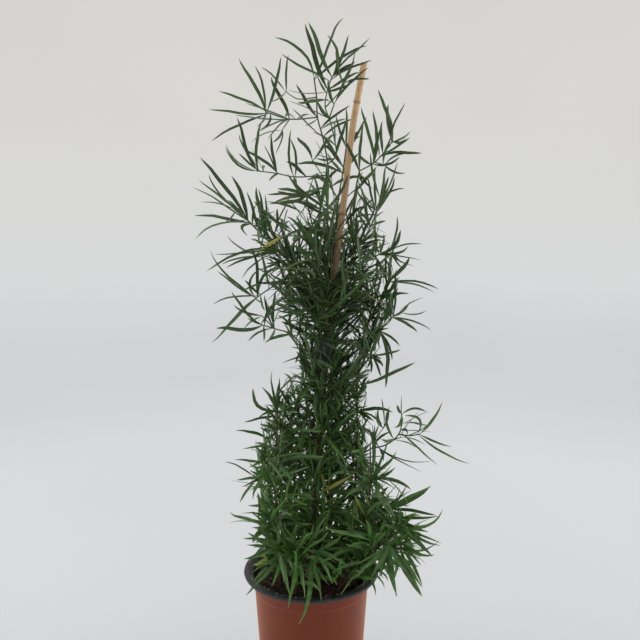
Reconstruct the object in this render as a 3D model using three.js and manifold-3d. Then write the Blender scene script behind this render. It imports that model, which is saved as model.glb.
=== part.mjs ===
// A potted sicklethorn asparagus: a plastic nursery pot filled with soil, a bamboo cane, a band of
// tape that ties the stems to it, and fourteen leafy stems. Millimetres, +Z up, origin at the middle
// of the pot's base, with the plant's best side towards -Y.
import * as THREE from 'three';
import { mergeVertices } from 'three/addons/utils/BufferGeometryUtils.js';
import Module from 'manifold-3d';

const wasm = await Module();
wasm.setup();

// Pot
const POT_HEIGHT = 150;
const RIM_RADIUS = 85;
const LIP_HEIGHT = 5;
const NECK_RADIUS = 74;
const BASE_RADIUS = 64;
const BAND_HEIGHT = 22;
const BAND_STEP = 1.2;
const WALL = 1.6;
const FLOOR = 1.8;
const POT_SIDES = 32;
const DRAIN_HOLES = 6;
const DRAIN_RADIUS = 4.5;
const DRAIN_CIRCLE = 42;
const GAP = 0.35;

// Soil
const SOIL_TOP = 135;
const SOIL_LUMP = 1.6;
const SOIL_RINGS = 3;
const SOIL_SIDES = 16;
const ROOT_DEPTH = 22;
const HOLE_GAP = 0.6;

// Cane and tie
const CANE_FOOT = 4.1;
const CANE_TOP = 3.8;
const CANE_SIDES = 8;
const CANE_STEPS = 9;
const CANE = [
  [-12, 20, 0], [2, 210, 0], [19, 430, 0], [29.3, 525, 0], [41, 620, 0], [49, 690, 0], [62.6, 767, 0],
];
const TIE_CENTRE = [17.5, 430];
const TIE_INNER = 12.2;
const TIE_OUTER = 13.8;
const TIE_HEIGHT = 34;
const TIE_SIDES = 18;

// Cladodes and stems
const BLADE_THICKNESS = 0.95;
const NARROWEST = 3.2;
const FLAT_BOW = 6.5;
const ROUND_BOW = 14;
const ROOT_SUNK = 0.1;
const SHORTEST_EDGE = 0.002;
const ROOT_SPACING = 1.1;
const CLEARANCE = 0.7;
const THIN_SHOOT = 0.55;
const TAPER = 0.55;
const THINNEST_TIP = 0.7;
const SHOOT_STEP = 36;
const STEM_SIDES = 4;
const SHOOT_SIDES = 3;
const FILL_BLADES = 2;
const FILL_SPACING = 2;

// Places on the plant are given as they are seen: x and z in the upright plane through the pot's axis,
// then moved along the line of sight from this eye to their depth y.
const EYE = new THREE.Vector3(11, -847, 561);

function seen([x, z, y]) {
  const scale = (y - EYE.y) / -EYE.y;
  return new THREE.Vector3(EYE.x + (x - EYE.x) * scale, y, EYE.z + (z - EYE.z) * scale);
}

// One seeded generator, so the plant grows the same way every time.
function dice(seed) {
  let state = seed;
  return (low, high) => {
    state = (state * 1664525 + 1013904223) % 4294967296;
    return low + (high - low) * state / 4294967296;
  };
}

// Each plant is one leafy stem: foot [x, y], where it stands in the soil; shoots, the first being the
// stem and the others springing from it, as lists of [x, z, y]; sprays, each a place on a shoot and
// its cladodes, as [x, z, y] of the tip, the bow to the left of the way from root to tip, and the
// width as seen; and fill, the rule for the other whorls, whose cladodes reach to the front and back,
// as the placed ones reach left and right, give or take their swing.
const PLANTS = [
  {
    name: 'leader_stem', seed: 11, foot: [-10, -14], radius: 1.6,
    shoots: [
      [[-6, 230, -12], [3, 330, -10], [12, 415, -7.5], [12.5, 445, -7.5], [19.5, 509, -7.5], [20, 580, -3],
        [20, 651, 0], [14, 683, 2], [8, 705, 2], [7, 728, 0], [4, 750, 0]],
      [[20, 651, 0], [30, 660, -5], [28, 680, -7], [22, 704, -6], [17, 716, -6], [20, 737, -7],
        [25, 751, -8]],
      [[22, 704, -6], [28, 721, -9]],
      [[8, 705, 2], [-25, 703, -9], [-53, 711, -14]],
      [[19, 637, 0], [-20, 636, 8], [-40, 640, 12], [-65, 643, 16]],
    ],
    sprays: [
      [[4, 750, 0], [-40, 797, -6, -20, 3.6], [36, 820, 10, 0, 3], [66, 787, 14, 9, 3]],
      [[25, 751, -8], [-1, 813, -14, 4, 5], [19, 799, -16, -20, 3.4], [45, 798, -2, -3, 3.5],
        [69, 793, 12, 8, 2], [72, 769, -18, 8, 2.2], [-34, 778, -26, 2, 3]],
      [[20, 737, -7], [-7, 811, 4, 3, 5.5], [58, 757, 10, 3, 3], [44, 742, -30, -2, 2], [-28, 737, -16, 6, 2],
        [8, 752, -24, 2, 2.4]],
      [[28, 721, -9], [67, 763, -20, 5, 3.2], [20, 748, -18, 3, 4]],
      [[21, 704, -6], [8, 724, -14, 4, 4.5], [-28, 724, -20, -3, 2]],
      [[8, 704, 2], [-17, 743, 4, 2, 4.2], [-7, 695, 16, 2, 2]],
      [[14, 683, 2], [-21, 715, 8, 3, 2], [52, 703, 18, 7, 2.6]],
      [[30, 660, -5], [14, 684, -12, -2, 4], [43, 702, -14, 2, 4], [6, 658, -20, 5, 2.4]],
      [[-25, 703, -9], [-48, 751, -6, -3, 4.4], [-90, 708, -26, 4, 2.2], [-62, 688, 6, -6, 2.4]],
      [[-53, 711, -14], [-84, 772, -8, -5, 4.4], [-34, 774, -18, -4, 3.6], [-107, 736, -24, -4, 3],
        [-120, 713, -10, 3, 3.4], [-118, 678, -30, -5, 3.2], [-62, 690, -30, 10, 3]],
      [[-65, 643, 16], [-101, 670, 4, 15, 2.6], [-100, 674, 26, 14, 2.2], [-85, 705, 20, 8, 4],
        [-60, 700, 12, 7, 3.6], [-86, 686, 34, 4, 2.4], [-85, 664, 10, 3, 3]],
      [[-40, 640, 12], [-46, 685, 8, 4, 3.6], [-80, 670, -6, -4, 4], [-50, 631, 26, -3, 3]],
      [[-20, 636, 8], [-22, 691, 12, 10, 3.2], [-24, 681, -4, -8, 3], [-16, 618, 14, 0, 1.8]],
    ],
    fill: { from: 150, to: 600, spacing: 27, reach: [42, 60], lift: [-15, 40], swing: 1 },
  },
  {
    name: 'right_stem', seed: 23, foot: [10, -18], radius: 1.5,
    shoots: [
      [[14, 230, -14], [21, 330, -9], [25.3, 415, -4.6], [25.6, 445, -4.8], [24, 500, -9], [28, 563, -9.5],
        [36, 579, -8.5], [45, 590, -7], [51, 610, -6], [56, 635, -4], [58, 643, -4]],
      [[58, 643, -4], [68, 648, -6], [76, 653, -8], [90, 668, -10], [97, 678, -12]],
      [[24, 500, -9], [44, 506, -34], [62, 512, -54]],
    ],
    sprays: [
      [[58, 643, -4], [62, 697, -2, 3, 3.6], [40, 679, -14, -2, 3.6], [73, 622, 8, -2, 2.6]],
      [[76, 653, -8], [59, 717, -12, -3, 4], [73, 713, -4, -8, 3.8], [83, 692, 6, 3, 4],
        [106, 659, -18, -9, 3], [56, 664, -18, 4, 3.6]],
      [[97, 678, -12], [79, 737, -16, -6, 4], [91, 720, -8, 4, 5.5], [112, 722, -20, 9, 2.6],
        [118, 688, 2, -3, 2.2], [88, 670, -30, 2, 3]],
      [[86, 663, -9], [118, 681, -20, -2, 2.6], [84, 701, -22, 3, 3.4]],
    ],
    fill: { from: 165, to: 560, spacing: 29, reach: [42, 60], lift: [-15, 40], swing: 1 },
  },
  {
    name: 'right_upper_stem', seed: 37, foot: [20, 4], radius: 1.5,
    shoots: [
      [[22, 230, 4], [25, 330, 4], [26, 415, 3.2], [27, 445, 4], [33, 500, 7], [44, 540, 6], [55, 551, 5],
        [63, 562, 4], [71, 576, 3], [76, 587, 2], [79, 600, 1]],
      [[33, 500, 7], [52, 510, 34], [72, 522, 56]],
      [[55, 551, 5], [72, 540, -8], [84, 545, -14]],
    ],
    sprays: [
      [[79, 598, 1], [76, 646, -4, 2, 3], [68, 637, 6, 3, 3], [88, 651, -6, -6, 3.8], [93, 637, 8, -2, 4],
        [94, 627, -16, -2, 3.4], [101, 635, 2, -3, 3.4], [57, 633, -16, 5, 3]],
      [[72, 578, 3], [89, 596, -8, 6, 2], [90, 584, 12, 2, 3], [62, 614, -4, 2, 3], [65, 616, 12, 3, 4],
        [56, 595, -16, 3, 3.4]],
      [[56, 551, 5], [50, 591, -4, 3, 3], [56, 595, 8, 3, 3.6], [43, 598, 16, 3, 3], [67, 583, 14, -3, 3.4],
        [78, 574, -6, 0, 3.6], [38, 567, -16, -2, 4]],
      [[84, 545, -14], [107, 574, -22, -14, 4.6], [88, 568, -10, -2, 3.4], [71, 562, -18, -3, 2.8],
        [118, 552, -26, -6, 3.2], [132, 537, -10, 4, 2]],
    ],
    fill: { from: 175, to: 540, spacing: 28, reach: [42, 60], lift: [-10, 40], swing: 1 },
  },
  {
    name: 'left_stem', seed: 41, foot: [-34, -4], radius: 1.8,
    shoots: [
      [[-38, 230, -7], [-37, 268, -8], [-29, 320, -7], [-18, 360, -4], [0, 390, -1], [10, 411, 0],
        [10.6, 447, 0], [5, 478, 0], [-6, 510, -2], [-20, 530, -4], [-40, 548, -6], [-57, 566, -8],
        [-76, 585, -10]],
      [[-20, 530, -4], [-35, 512, -10], [-50, 503, -14], [-67, 491, -18]],
      [[0, 390, -1], [-10, 430, -12], [-24, 447, -18], [-45, 454, -22], [-61, 459, -24]],
      [[-6, 510, -2], [-18, 540, 24], [-30, 560, 44], [-36, 585, 62]],
    ],
    sprays: [
      [[-76, 585, -10], [-130, 660, -18, -3, 4.5], [-93, 637, -4, -5, 5], [-142, 624, -30, -4, 2.2],
        [-100, 610, -34, 0, 2], [-140, 590, 2, -4, 4], [-139, 563, -20, -18, 2.2], [-76, 566, 4, -20, 4],
        [-66, 603, -26, 2, 2.4]],
      [[-58, 567, -8], [-75, 619, -4, 4, 3.6], [-66, 624, -14, -2, 4.6], [-61, 622, 4, -2, 3.2],
        [-54, 616, -20, -2, 2.8]],
      [[-42, 550, -6], [-116, 545, 6, 4, 2.6], [-127, 524, -16, -18, 3.4], [-103, 530, -2, -3, 3],
        [-62, 545, -20, 0, 4.4], [-68, 563, -26, 3, 3]],
      [[-67, 491, -18], [-122, 550, -10, 12, 2.8], [-113, 524, -26, 4, 2], [-72, 553, -8, -8, 4],
        [-33, 529, -36, 22, 3.6], [-120, 484, -34, -8, 2], [-122, 435, -18, -3, 4.8],
        [-56, 476, -32, -2, 2.6], [-80, 513, -34, 2, 2.6]],
      [[-61, 459, -24], [-97, 499, -20, 6, 3.2], [-77, 466, -44, 0, 2], [-116, 457, -32, 10, 4.6],
        [-58, 438, -34, 2, 3], [-30, 492, -34, 14, 4]],
      [[-45, 454, -22], [-42, 501, -20, 5, 3.6], [-52, 439, -12, 2, 3]],
      [[-24, 447, -18], [-57, 435, -12, -6, 4], [-39, 471, -28, -8, 3], [-27, 484, -14, 2, 3]],
    ],
    fill: { from: 140, to: 560, spacing: 30, reach: [42, 62], lift: [-20, 35], swing: 1 },
  },
  {
    name: 'front_stem', seed: 53, foot: [-2, -30], radius: 1.6,
    shoots: [
      [[6, 230, -22], [12, 330, -17], [19, 415, -9], [19, 445, -9.4], [14, 500, -17], [6, 560, -24],
        [-2, 596, -28], [-5, 615, -28]],
      [[16, 478, -14], [26, 486, -40], [36, 480, -62]],
      [[6, 560, -24], [-14, 566, -46], [-30, 566, -66]],
      [[10, 530, -20], [28, 528, -44], [50, 522, -62]],
      [[2, 580, -26], [12, 598, -30], [18, 632, -30]],
    ],
    sprays: [
      [[-5, 615, -28], [-40, 621, -34, -4, 4.4], [-38, 606, -24, 6, 4.4], [14, 618, -46, 3, 3.4],
        [-52, 614, -46, -6, 3.4], [-28, 640, -40, 3, 3]],
      [[12, 598, -30], [20, 653, -38, -2, 5], [-30, 608, -44, -6, 4.4], [28, 580, -52, 2, 4]],
      [[18, 632, -30], [-5, 632, -40, -6, 3], [36, 646, -36, 3, 3.4], [6, 641, -48, 2, 2.6]],
    ],
    fill: { from: 150, to: 620, spacing: 26, reach: [42, 60], lift: [-20, 35], swing: 1 },
  },
  {
    name: 'rear_stem', seed: 67, foot: [4, 20], radius: 1.6,
    shoots: [
      [[8, 230, 20], [14, 330, 15], [19.5, 415, 9.2], [20, 445, 9.4], [22, 500, 16], [28, 560, 18],
        [33, 610, 13], [38, 640, 11], [42, 670, 13]],
      [[22, 500, 16], [0, 520, 40], [-26, 545, 62], [-44, 562, 76]],
      [[28, 560, 18], [48, 580, 44], [66, 604, 66]],
      [[33, 610, 13], [18, 632, 44], [2, 655, 66]],
      [[20, 460, 11], [46, 474, 46], [66, 490, 76]],
      [[20, 460, 11], [-10, 470, 46], [-30, 480, 78]],
    ],
    sprays: [
      [[38, 640, 11], [-18, 652, -14, -10, 4.2], [20, 664, 22, 2, 2.6], [56, 664, 22, 2, 4]],
      [[42, 670, 13], [30, 708, 16, 3, 3], [41, 717, 8, -3, 2.8], [56, 690, 26, 2, 4], [66, 706, 20, -4, 3]],
    ],
    fill: { from: 160, to: 660, spacing: 27, reach: [44, 62], lift: [-10, 45], swing: 1 },
  },
  {
    name: 'right_free_stem', seed: 79, foot: [36, 2], radius: 1.8,
    shoots: [
      [[50, 200, 2], [55, 260, 0], [57, 300, 0], [57, 380, 0], [60, 425, 1], [68, 458, 3], [82, 485, 3],
        [95, 512, 2]],
      [[60, 425, 1], [75, 444, -6], [84, 451, -8], [92, 461, -8], [100, 469, -6]],
      [[57, 395, 0], [66, 412, -8], [75, 421, -10]],
      [[57, 290, 0], [66, 298, -8], [76, 304, -12], [90, 307, -16], [103, 315, -18], [111, 327, -20],
        [112, 348, -22]],
      [[107, 321, -19], [122, 320, -26], [135, 322, -28]],
      [[60, 425, 1], [76, 448, 30], [84, 476, 54]],
      [[57, 350, 0], [52, 372, 26], [44, 392, 50]],
    ],
    sprays: [
      [[95, 512, 2], [119, 541, -4, -4, 5], [155, 500, -14, 12, 2.6], [150, 497, 10, 10, 2.2],
        [104, 560, 8, 6, 4], [74, 546, 14, -4, 4]],
      [[100, 469, -6], [120, 487, -2, -6, 3.4], [147, 451, -16, 8, 2.6], [130, 450, 4, 5, 3.6],
        [106, 510, -14, 6, 3.6], [96, 500, 6, 3, 3.6]],
      [[85, 451, -8], [108, 432, -14, 5, 3.4], [89, 380, -22, 16, 4.6], [100, 415, -2, 8, 3.2]],
      [[75, 421, -10], [110, 428, -16, -3, 3.4], [86, 394, -20, 3, 3], [88, 407, -34, 2, 2],
        [73, 399, 2, 3, 2.8], [52, 446, -30, 4, 3.4]],
      [[57, 382, 0], [128, 412, -10, -4, 4.8], [67, 374, 14, 0, 2.2]],
      [[57, 366, 0], [68, 372, -10, 0, 2.6], [36, 404, -16, 4, 4]],
      [[84, 306, -14], [90, 287, -20, 3, 3], [152, 288, -22, -16, 2.6], [141, 271, -34, -3, 2.2],
        [80, 335, -28, 5, 3]],
      [[103, 315, -18], [98, 358, -10, 14, 3.6], [131, 304, -4, 6, 2.2], [86, 316, -34, 3, 2.8]],
      [[112, 348, -22], [106, 359, -28, 2, 3.4], [142, 350, -18, 12, 3], [103, 330, -32, 8, 4.4],
        [112, 372, -16, 1, 1.8]],
      [[112, 327, -20], [119, 319, -30, 10, 3], [150, 325, -14, 3, 2], [158, 281, -36, 0, 2.6]],
      [[135, 322, -28], [163, 364, -36, -5, 4.6], [176, 306, -20, -4, 3.2], [198, 283, -44, -8, 2.8],
        [116, 346, -38, -24, 3.4]],
    ],
    fill: { from: 170, to: 560, spacing: 27, reach: [42, 60], lift: [-20, 40], swing: 1 },
  },
  {
    name: 'right_low_shoot', seed: 83, foot: [44, -20], radius: 1.7,
    shoots: [
      [[56, 165, -23], [66, 205, -27], [73, 240, -28], [75, 268, -28]],
      [[66, 205, -27], [82, 214, -34], [98, 226, -40]],
      [[56, 165, -23], [72, 172, 4], [92, 184, 22]],
    ],
    sprays: [
      [[75, 268, -28], [107, 300, -34, -5, 5], [125, 252, -40, 8, 4.6], [70, 330, -26, -12, 4.6],
        [52, 306, -40, 4, 4], [44, 262, -56, 5, 4.4], [96, 318, -10, -4, 3.6], [90, 250, -60, 3, 4]],
      [[98, 226, -40], [150, 254, -46, -5, 5.2], [120, 256, -32, -4, 3.8], [157, 216, -54, 7, 4.8],
        [127, 209, -70, 3, 3.4], [76, 214, -64, 4, 4.4]],
    ],
    fill: { from: 45, to: 400, spacing: 22, reach: [46, 62], lift: [-20, 30], swing: 1 },
  },
  {
    name: 'right_rim_shoot', seed: 97, foot: [34, -38], radius: 1.7,
    shoots: [
      [[62, 145, -46], [82, 172, -54], [103, 192, -58], [120, 200, -60]],
      [[98, 188, -57], [108, 180, -60], [116, 175, -62]],
      [[72, 160, -50], [84, 160, -56], [96, 166, -62]],
    ],
    sprays: [
      [[120, 200, -60], [166, 226, -66, -18, 4.2], [137, 207, -84, -3, 4], [148, 195, -52, 3, 4],
        [165, 180, -72, 2, 4], [112, 228, -78, 4, 4.4], [90, 208, -88, 3, 5]],
      [[116, 175, -62], [162, 184, -62, -16, 4], [157, 165, -76, -7, 5], [140, 150, -54, 3, 4],
        [142, 122, -70, 5, 4.8], [141, 109, -86, -3, 5.2]],
      [[96, 166, -62], [110, 109, -72, -4, 5.2], [101, 136, -86, 2, 4.2], [105, 129, -60, -10, 3],
        [93, 133, -70, -12, 3.8], [86, 134, -92, 2, 4.4]],
      [[72, 160, -50], [83, 111, -88, -3, 4.2], [52, 132, -82, 3, 5], [78, 130, -74, 3, 4.6],
        [26, 145, -84, -3, 5]],
    ],
    fill: { from: 60, to: 150, spacing: 22, reach: [44, 58], lift: [-10, 25], swing: 1 },
  },
  {
    name: 'left_low_shoot', seed: 101, foot: [-38, -22], radius: 1.7,
    shoots: [
      [[-40, 165, -26], [-42, 205, -30], [-45, 255, -32], [-44, 300, -30], [-42, 330, -28], [-42, 352, -27]],
      [[-44, 290, -30], [-58, 286, -36]],
      [[-42, 205, -30], [-58, 200, -10], [-66, 206, 14]],
    ],
    sprays: [
      [[-42, 352, -27], [-70, 382, -32, 26, 4.2], [-61, 382, -24, -5, 4.2], [-66, 343, -40, -6, 3.2],
        [-38, 388, -36, 3, 4.2], [-49, 402, -20, 2, 3], [-14, 372, -48, -4, 4]],
      [[-42, 328, -28], [-64, 334, -20, -2, 3.2], [-59, 315, -44, 3, 3]],
      [[-44, 304, -30], [-86, 302, -38, -8, 3], [-70, 311, -14, -3, 3]],
      [[-58, 286, -36], [-96, 290, -46, 0, 3], [-78, 286, -30, 14, 3.2], [-76, 262, -52, 3, 2.4]],
      [[-45, 255, -32], [-78, 249, -40, -5, 3.2], [-84, 256, -20, 2, 2], [-20, 285, -60, 5, 4.6]],
      [[-43, 228, -31], [-66, 238, -44, -2, 3.4], [-80, 230, -24, -3, 4.6], [-14, 232, -66, 4, 4.6]],
      [[-42, 205, -30], [-75, 222, -38, -3, 5.2], [-71, 199, -48, 2, 4], [-72, 190, -60, -3, 5.2],
        [0, 206, -70, 5, 4.6]],
      [[-40, 180, -28], [-87, 186, -40, -6, 4.2], [-82, 179, -26, 3, 4.2]],
    ],
    fill: { from: 60, to: 330, spacing: 30, reach: [42, 56], lift: [-10, 35], swing: 1 },
  },
  {
    name: 'front_rim_shoot', seed: 113, foot: [-18, -42], radius: 1.7,
    shoots: [
      [[-20, 145, -45], [-20, 172, -50]],
      [[-20, 150, -46], [-32, 162, -50], [-40, 168, -52]],
      [[-20, 150, -46], [-8, 162, -50], [0, 166, -54]],
    ],
    sprays: [
      [[-40, 168, -52], [-84, 110, -74, 5, 5.2], [-76, 143, -56, 3, 4.4], [-50, 124, -88, 3, 4.6],
        [-26, 109, -92, -3, 5], [-62, 186, -66, -4, 4.4]],
      [[-20, 172, -50], [-33, 93, -100, 8, 5.4], [9, 156, -82, 3, 5], [-9, 133, -90, 2, 3.4],
        [-38, 206, -76, 4, 4.8], [4, 206, -72, -4, 4.4]],
      [[0, 166, -54], [-17, 72, -104, 12, 6], [12, 104, -96, 3, 5], [20, 126, -84, -3, 5],
        [30, 186, -76, -4, 4.8], [14, 158, -66, 2, 5]],
    ],
    fill: { from: 500, to: 500, spacing: 30, reach: [42, 56], lift: [0, 30], swing: 1 },
  },
  {
    name: 'rear_low_shoot', seed: 127, foot: [-6, 42], radius: 1.7,
    shoots: [
      [[-8, 180, 46], [-14, 240, 52], [-12, 300, 50], [-6, 350, 46]],
      [[-10, 190, 47], [-14, 200, 76], [-12, 206, 96]],
      [[-14, 250, 52], [-34, 262, 66], [-50, 276, 76]],
      [[-12, 280, 51], [8, 290, 70], [22, 304, 84]],
    ],
    sprays: [],
    fill: { from: 40, to: 400, spacing: 13, reach: [46, 64], lift: [-25, 35], swing: 3.1 },
  },
  {
    name: 'rear_right_shoot', seed: 131, foot: [28, 30], radius: 1.7,
    shoots: [
      [[36, 180, 36], [46, 230, 44], [52, 280, 46], [50, 320, 42]],
      [[40, 200, 39], [62, 206, 58], [82, 212, 72]],
      [[38, 190, 37], [70, 190, 40], [98, 196, 38]],
    ],
    sprays: [],
    fill: { from: 40, to: 400, spacing: 13, reach: [46, 64], lift: [-25, 35], swing: 3.1 },
  },
  {
    name: 'rear_left_shoot', seed: 139, foot: [-30, 28], radius: 1.7,
    shoots: [
      [[-40, 180, 32], [-50, 230, 38], [-54, 280, 36], [-48, 330, 30]],
      [[-43, 196, 34], [-62, 204, 56], [-74, 210, 74]],
      [[-52, 250, 37], [-66, 262, 20], [-72, 270, 8]],
    ],
    sprays: [],
    fill: { from: 40, to: 400, spacing: 13, reach: [44, 60], lift: [-25, 35], swing: 3.1 },
  },
];

// Gives a geometry as a solid, with the box it fills.
function solidOf(geometry) {
  geometry.deleteAttribute('normal');
  geometry.deleteAttribute('uv');
  const merged = mergeVertices(geometry, 1e-5);
  merged.computeBoundingBox();
  const solid = new wasm.Manifold(new wasm.Mesh({
    numProp: 3,
    vertProperties: merged.attributes.position.array,
    triVerts: merged.index.array,
  }));
  return { solid, box: merged.boundingBox };
}

// A round rod along a curve, from a closed cylinder whose rings are carried to the curve. A clearance
// makes it the hole that such a rod stands in.
function rod(curve, [startRadius, endRadius], sides, steps, clearance = 0) {
  const shape = new THREE.CylinderGeometry(1, 1, 1, sides, steps);
  const { tangents, normals, binormals } = curve.computeFrenetFrames(steps);
  const places = shape.attributes.position;
  for (let i = 0; i < places.count; i += 1) {
    const ring = Math.round((places.getY(i) + 0.5) * steps);
    const radius = startRadius + (endRadius - startRadius) * ring / steps + clearance;
    const place = curve.getPointAt(ring / steps)
      .addScaledVector(tangents[ring], ring === 0 ? -clearance : 0)
      .addScaledVector(tangents[ring], ring === steps ? ROOT_SUNK : 0)
      .addScaledVector(binormals[ring], places.getX(i) * radius)
      .addScaledVector(normals[ring], places.getZ(i) * radius);
    places.setXYZ(i, place.x, place.y, place.z);
  }
  return solidOf(shape);
}

// One cladode: a thin sickle, flat above and keeled below, from its root through its bow to its tip.
function blade({ root, bow, tip, side, width }, extra = 0) {
  const sunk = root.clone().addScaledVector(bow.clone().sub(root).normalize(), -ROOT_SUNK);
  const curve = new THREE.QuadraticBezierCurve3(sunk, bow, tip);
  const arch = root.clone().lerp(tip, 0.5).distanceTo(bow);
  const rings = 3 + (arch > FLAT_BOW) + (arch > ROUND_BOW);
  const shape = new THREE.SphereGeometry(1, 3, rings, Math.PI / 6);
  const places = shape.attributes.position;
  for (let i = 0; i < places.count; i += 1) {
    const t = (1 - places.getY(i)) / 2;
    const along = curve.getTangent(t);
    const across = side.clone().addScaledVector(along, -side.dot(along)).normalize();
    const face = along.clone().cross(across);
    const place = curve.getPoint(t)
      .addScaledVector(across, places.getX(i) * (width + extra) / Math.sqrt(3))
      .addScaledVector(face, places.getZ(i) * (BLADE_THICKNESS + extra) / 1.5);
    places.setXYZ(i, place.x, place.y, place.z);
  }
  return solidOf(shape);
}

// A cladode given by its tip as seen. A narrow one is turned edge on.
function placedBlade(root, [x, z, y, bend, width], shift = 0) {
  const tip = seen([x, z, y + shift]);
  const way = tip.clone().sub(root);
  const left = new THREE.Vector3(-way.z, 0, way.x).normalize();
  const bow = root.clone().addScaledVector(way, 0.5).addScaledVector(left, bend);
  bow.y += shift / 3;
  const side = left.clone();
  if (width < NARROWEST) side.set(0.25 * left.x, -1, 0.25 * left.z);
  return { root, bow, tip, side, width: Math.max(width, NARROWEST) };
}

// A cladode given by rule: it leaves the stem outwards, rises and arches over.
function grownBlade(root, bearing, lift, reach, arch, width, turn) {
  const out = new THREE.Vector3(Math.cos(bearing), Math.sin(bearing), 0);
  const tip = root.clone().addScaledVector(out, reach * Math.cos(lift));
  tip.z += reach * Math.sin(lift);
  const bow = root.clone().lerp(tip, 0.5);
  bow.z += arch;
  const side = new THREE.Vector3(-out.y, out.x, 0).multiplyScalar(Math.cos(turn));
  side.z = Math.sin(turn);
  return { root, bow, tip, side, width };
}

// Joins solids two by two, which keeps each join small.
function joined(solids) {
  let left = solids;
  while (left.length > 1) {
    const pairs = [];
    for (let i = 0; i < left.length; i += 2) {
      pairs.push(i + 1 < left.length ? left[i].add(left[i + 1]) : left[i]);
    }
    left = pairs;
  }
  return left[0];
}

// Sorts numbered things into sets: join puts two in one set, find names the set that one is in.
function setsOf(count) {
  const owner = Array.from({ length: count }, (_, i) => i);
  const find = (i) => {
    let at = i;
    while (owner[at] !== at) at = owner[at];
    return at;
  };
  const join = (a, b) => {
    owner[find(b)] = find(a);
  };
  return { find, join };
}

// Draws the ends of every very short edge together, and drops the faces that this closes up.
function welded(faces, corners) {
  const welds = setsOf(corners.length);
  faces.forEach((face) => {
    face.forEach((a, i) => {
      const b = face[(i + 1) % 3];
      if (corners[a].distanceTo(corners[b]) < SHORTEST_EDGE) welds.join(a, b);
    });
  });
  const kept = new Map();
  faces.forEach((face) => {
    const drawn = face.map(welds.find);
    if (new Set(drawn).size < 3) return;
    const key = [...drawn].sort().join();
    if (kept.has(key)) kept.delete(key);
    else kept.set(key, drawn);
  });
  return [...kept.values()];
}

// The faces of each closed skin: those that can be reached from one another over shared edges.
function skinsOf(faces) {
  const reach = setsOf(faces.length);
  const edges = new Map();
  faces.forEach((face, index) => {
    face.forEach((a, i) => {
      const key = [a, face[(i + 1) % 3]].sort().join();
      if (edges.has(key)) reach.join(index, edges.get(key));
      edges.set(key, index);
    });
  });
  const skins = new Map();
  faces.forEach((face, index) => {
    const key = reach.find(index);
    skins.set(key, [...(skins.get(key) ?? []), face]);
  });
  return [...skins.values()];
}

// Keeps the outer skin of the biggest body: loose scraps are dropped and sealed hollows filled.
function outerSkin(solid) {
  const { vertProperties, triVerts } = solid.getMesh();
  const corners = [];
  for (let i = 0; i < vertProperties.length; i += 3) {
    corners.push(new THREE.Vector3().fromArray(vertProperties, i));
  }
  const faces = [];
  for (let i = 0; i < triVerts.length; i += 3) faces.push([...triVerts.slice(i, i + 3)]);
  const volumeOf = (skin) => skin.reduce((sum, [a, b, c]) => (
    sum + corners[a].dot(corners[b].clone().cross(corners[c])) / 6), 0);
  const [biggest] = skinsOf(welded(faces, corners)).sort((one, other) => volumeOf(other) - volumeOf(one));
  const geometry = new THREE.BufferGeometry().setFromPoints(biggest.flat().map((i) => corners[i]));
  return mergeVertices(geometry, 1e-5);
}

function latheOf(profile, sides) {
  const shape = new THREE.LatheGeometry(profile.map(([r, z]) => new THREE.Vector2(r, z)), sides);
  shape.rotateX(Math.PI / 2);
  return shape;
}

function makePot() {
  const neckFoot = POT_HEIGHT - BAND_HEIGHT;
  const wallAt = (z) => BASE_RADIUS + (NECK_RADIUS - BASE_RADIUS) * z / POT_HEIGHT;
  const lipFoot = POT_HEIGHT - LIP_HEIGHT;
  const profile = [
    [0, 0], [BASE_RADIUS - 2, 0], [BASE_RADIUS, 2],
    [wallAt(neckFoot) - BAND_STEP, neckFoot - 1.5], [wallAt(neckFoot), neckFoot],
    [NECK_RADIUS, lipFoot + 1], [RIM_RADIUS - 1.2, lipFoot], [RIM_RADIUS, lipFoot + 1.8],
    [RIM_RADIUS - 1, POT_HEIGHT - 1], [RIM_RADIUS - 4.5, POT_HEIGHT],
    [NECK_RADIUS - WALL, lipFoot], [wallAt(neckFoot) - WALL, neckFoot],
    [wallAt(neckFoot) - BAND_STEP - WALL, neckFoot - 1.5], [BASE_RADIUS - WALL, FLOOR], [0, FLOOR],
  ];
  let pot = solidOf(latheOf(profile, POT_SIDES)).solid;
  for (let i = 0; i < DRAIN_HOLES; i += 1) {
    const angle = (i + 0.5) * 2 * Math.PI / DRAIN_HOLES;
    const drill = new THREE.CylinderGeometry(DRAIN_RADIUS, DRAIN_RADIUS, 4 * FLOOR, 8);
    drill.rotateX(Math.PI / 2);
    drill.translate(DRAIN_CIRCLE * Math.cos(angle), DRAIN_CIRCLE * Math.sin(angle), 0);
    pot = pot.subtract(solidOf(drill).solid);
  }
  return pot;
}

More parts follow.
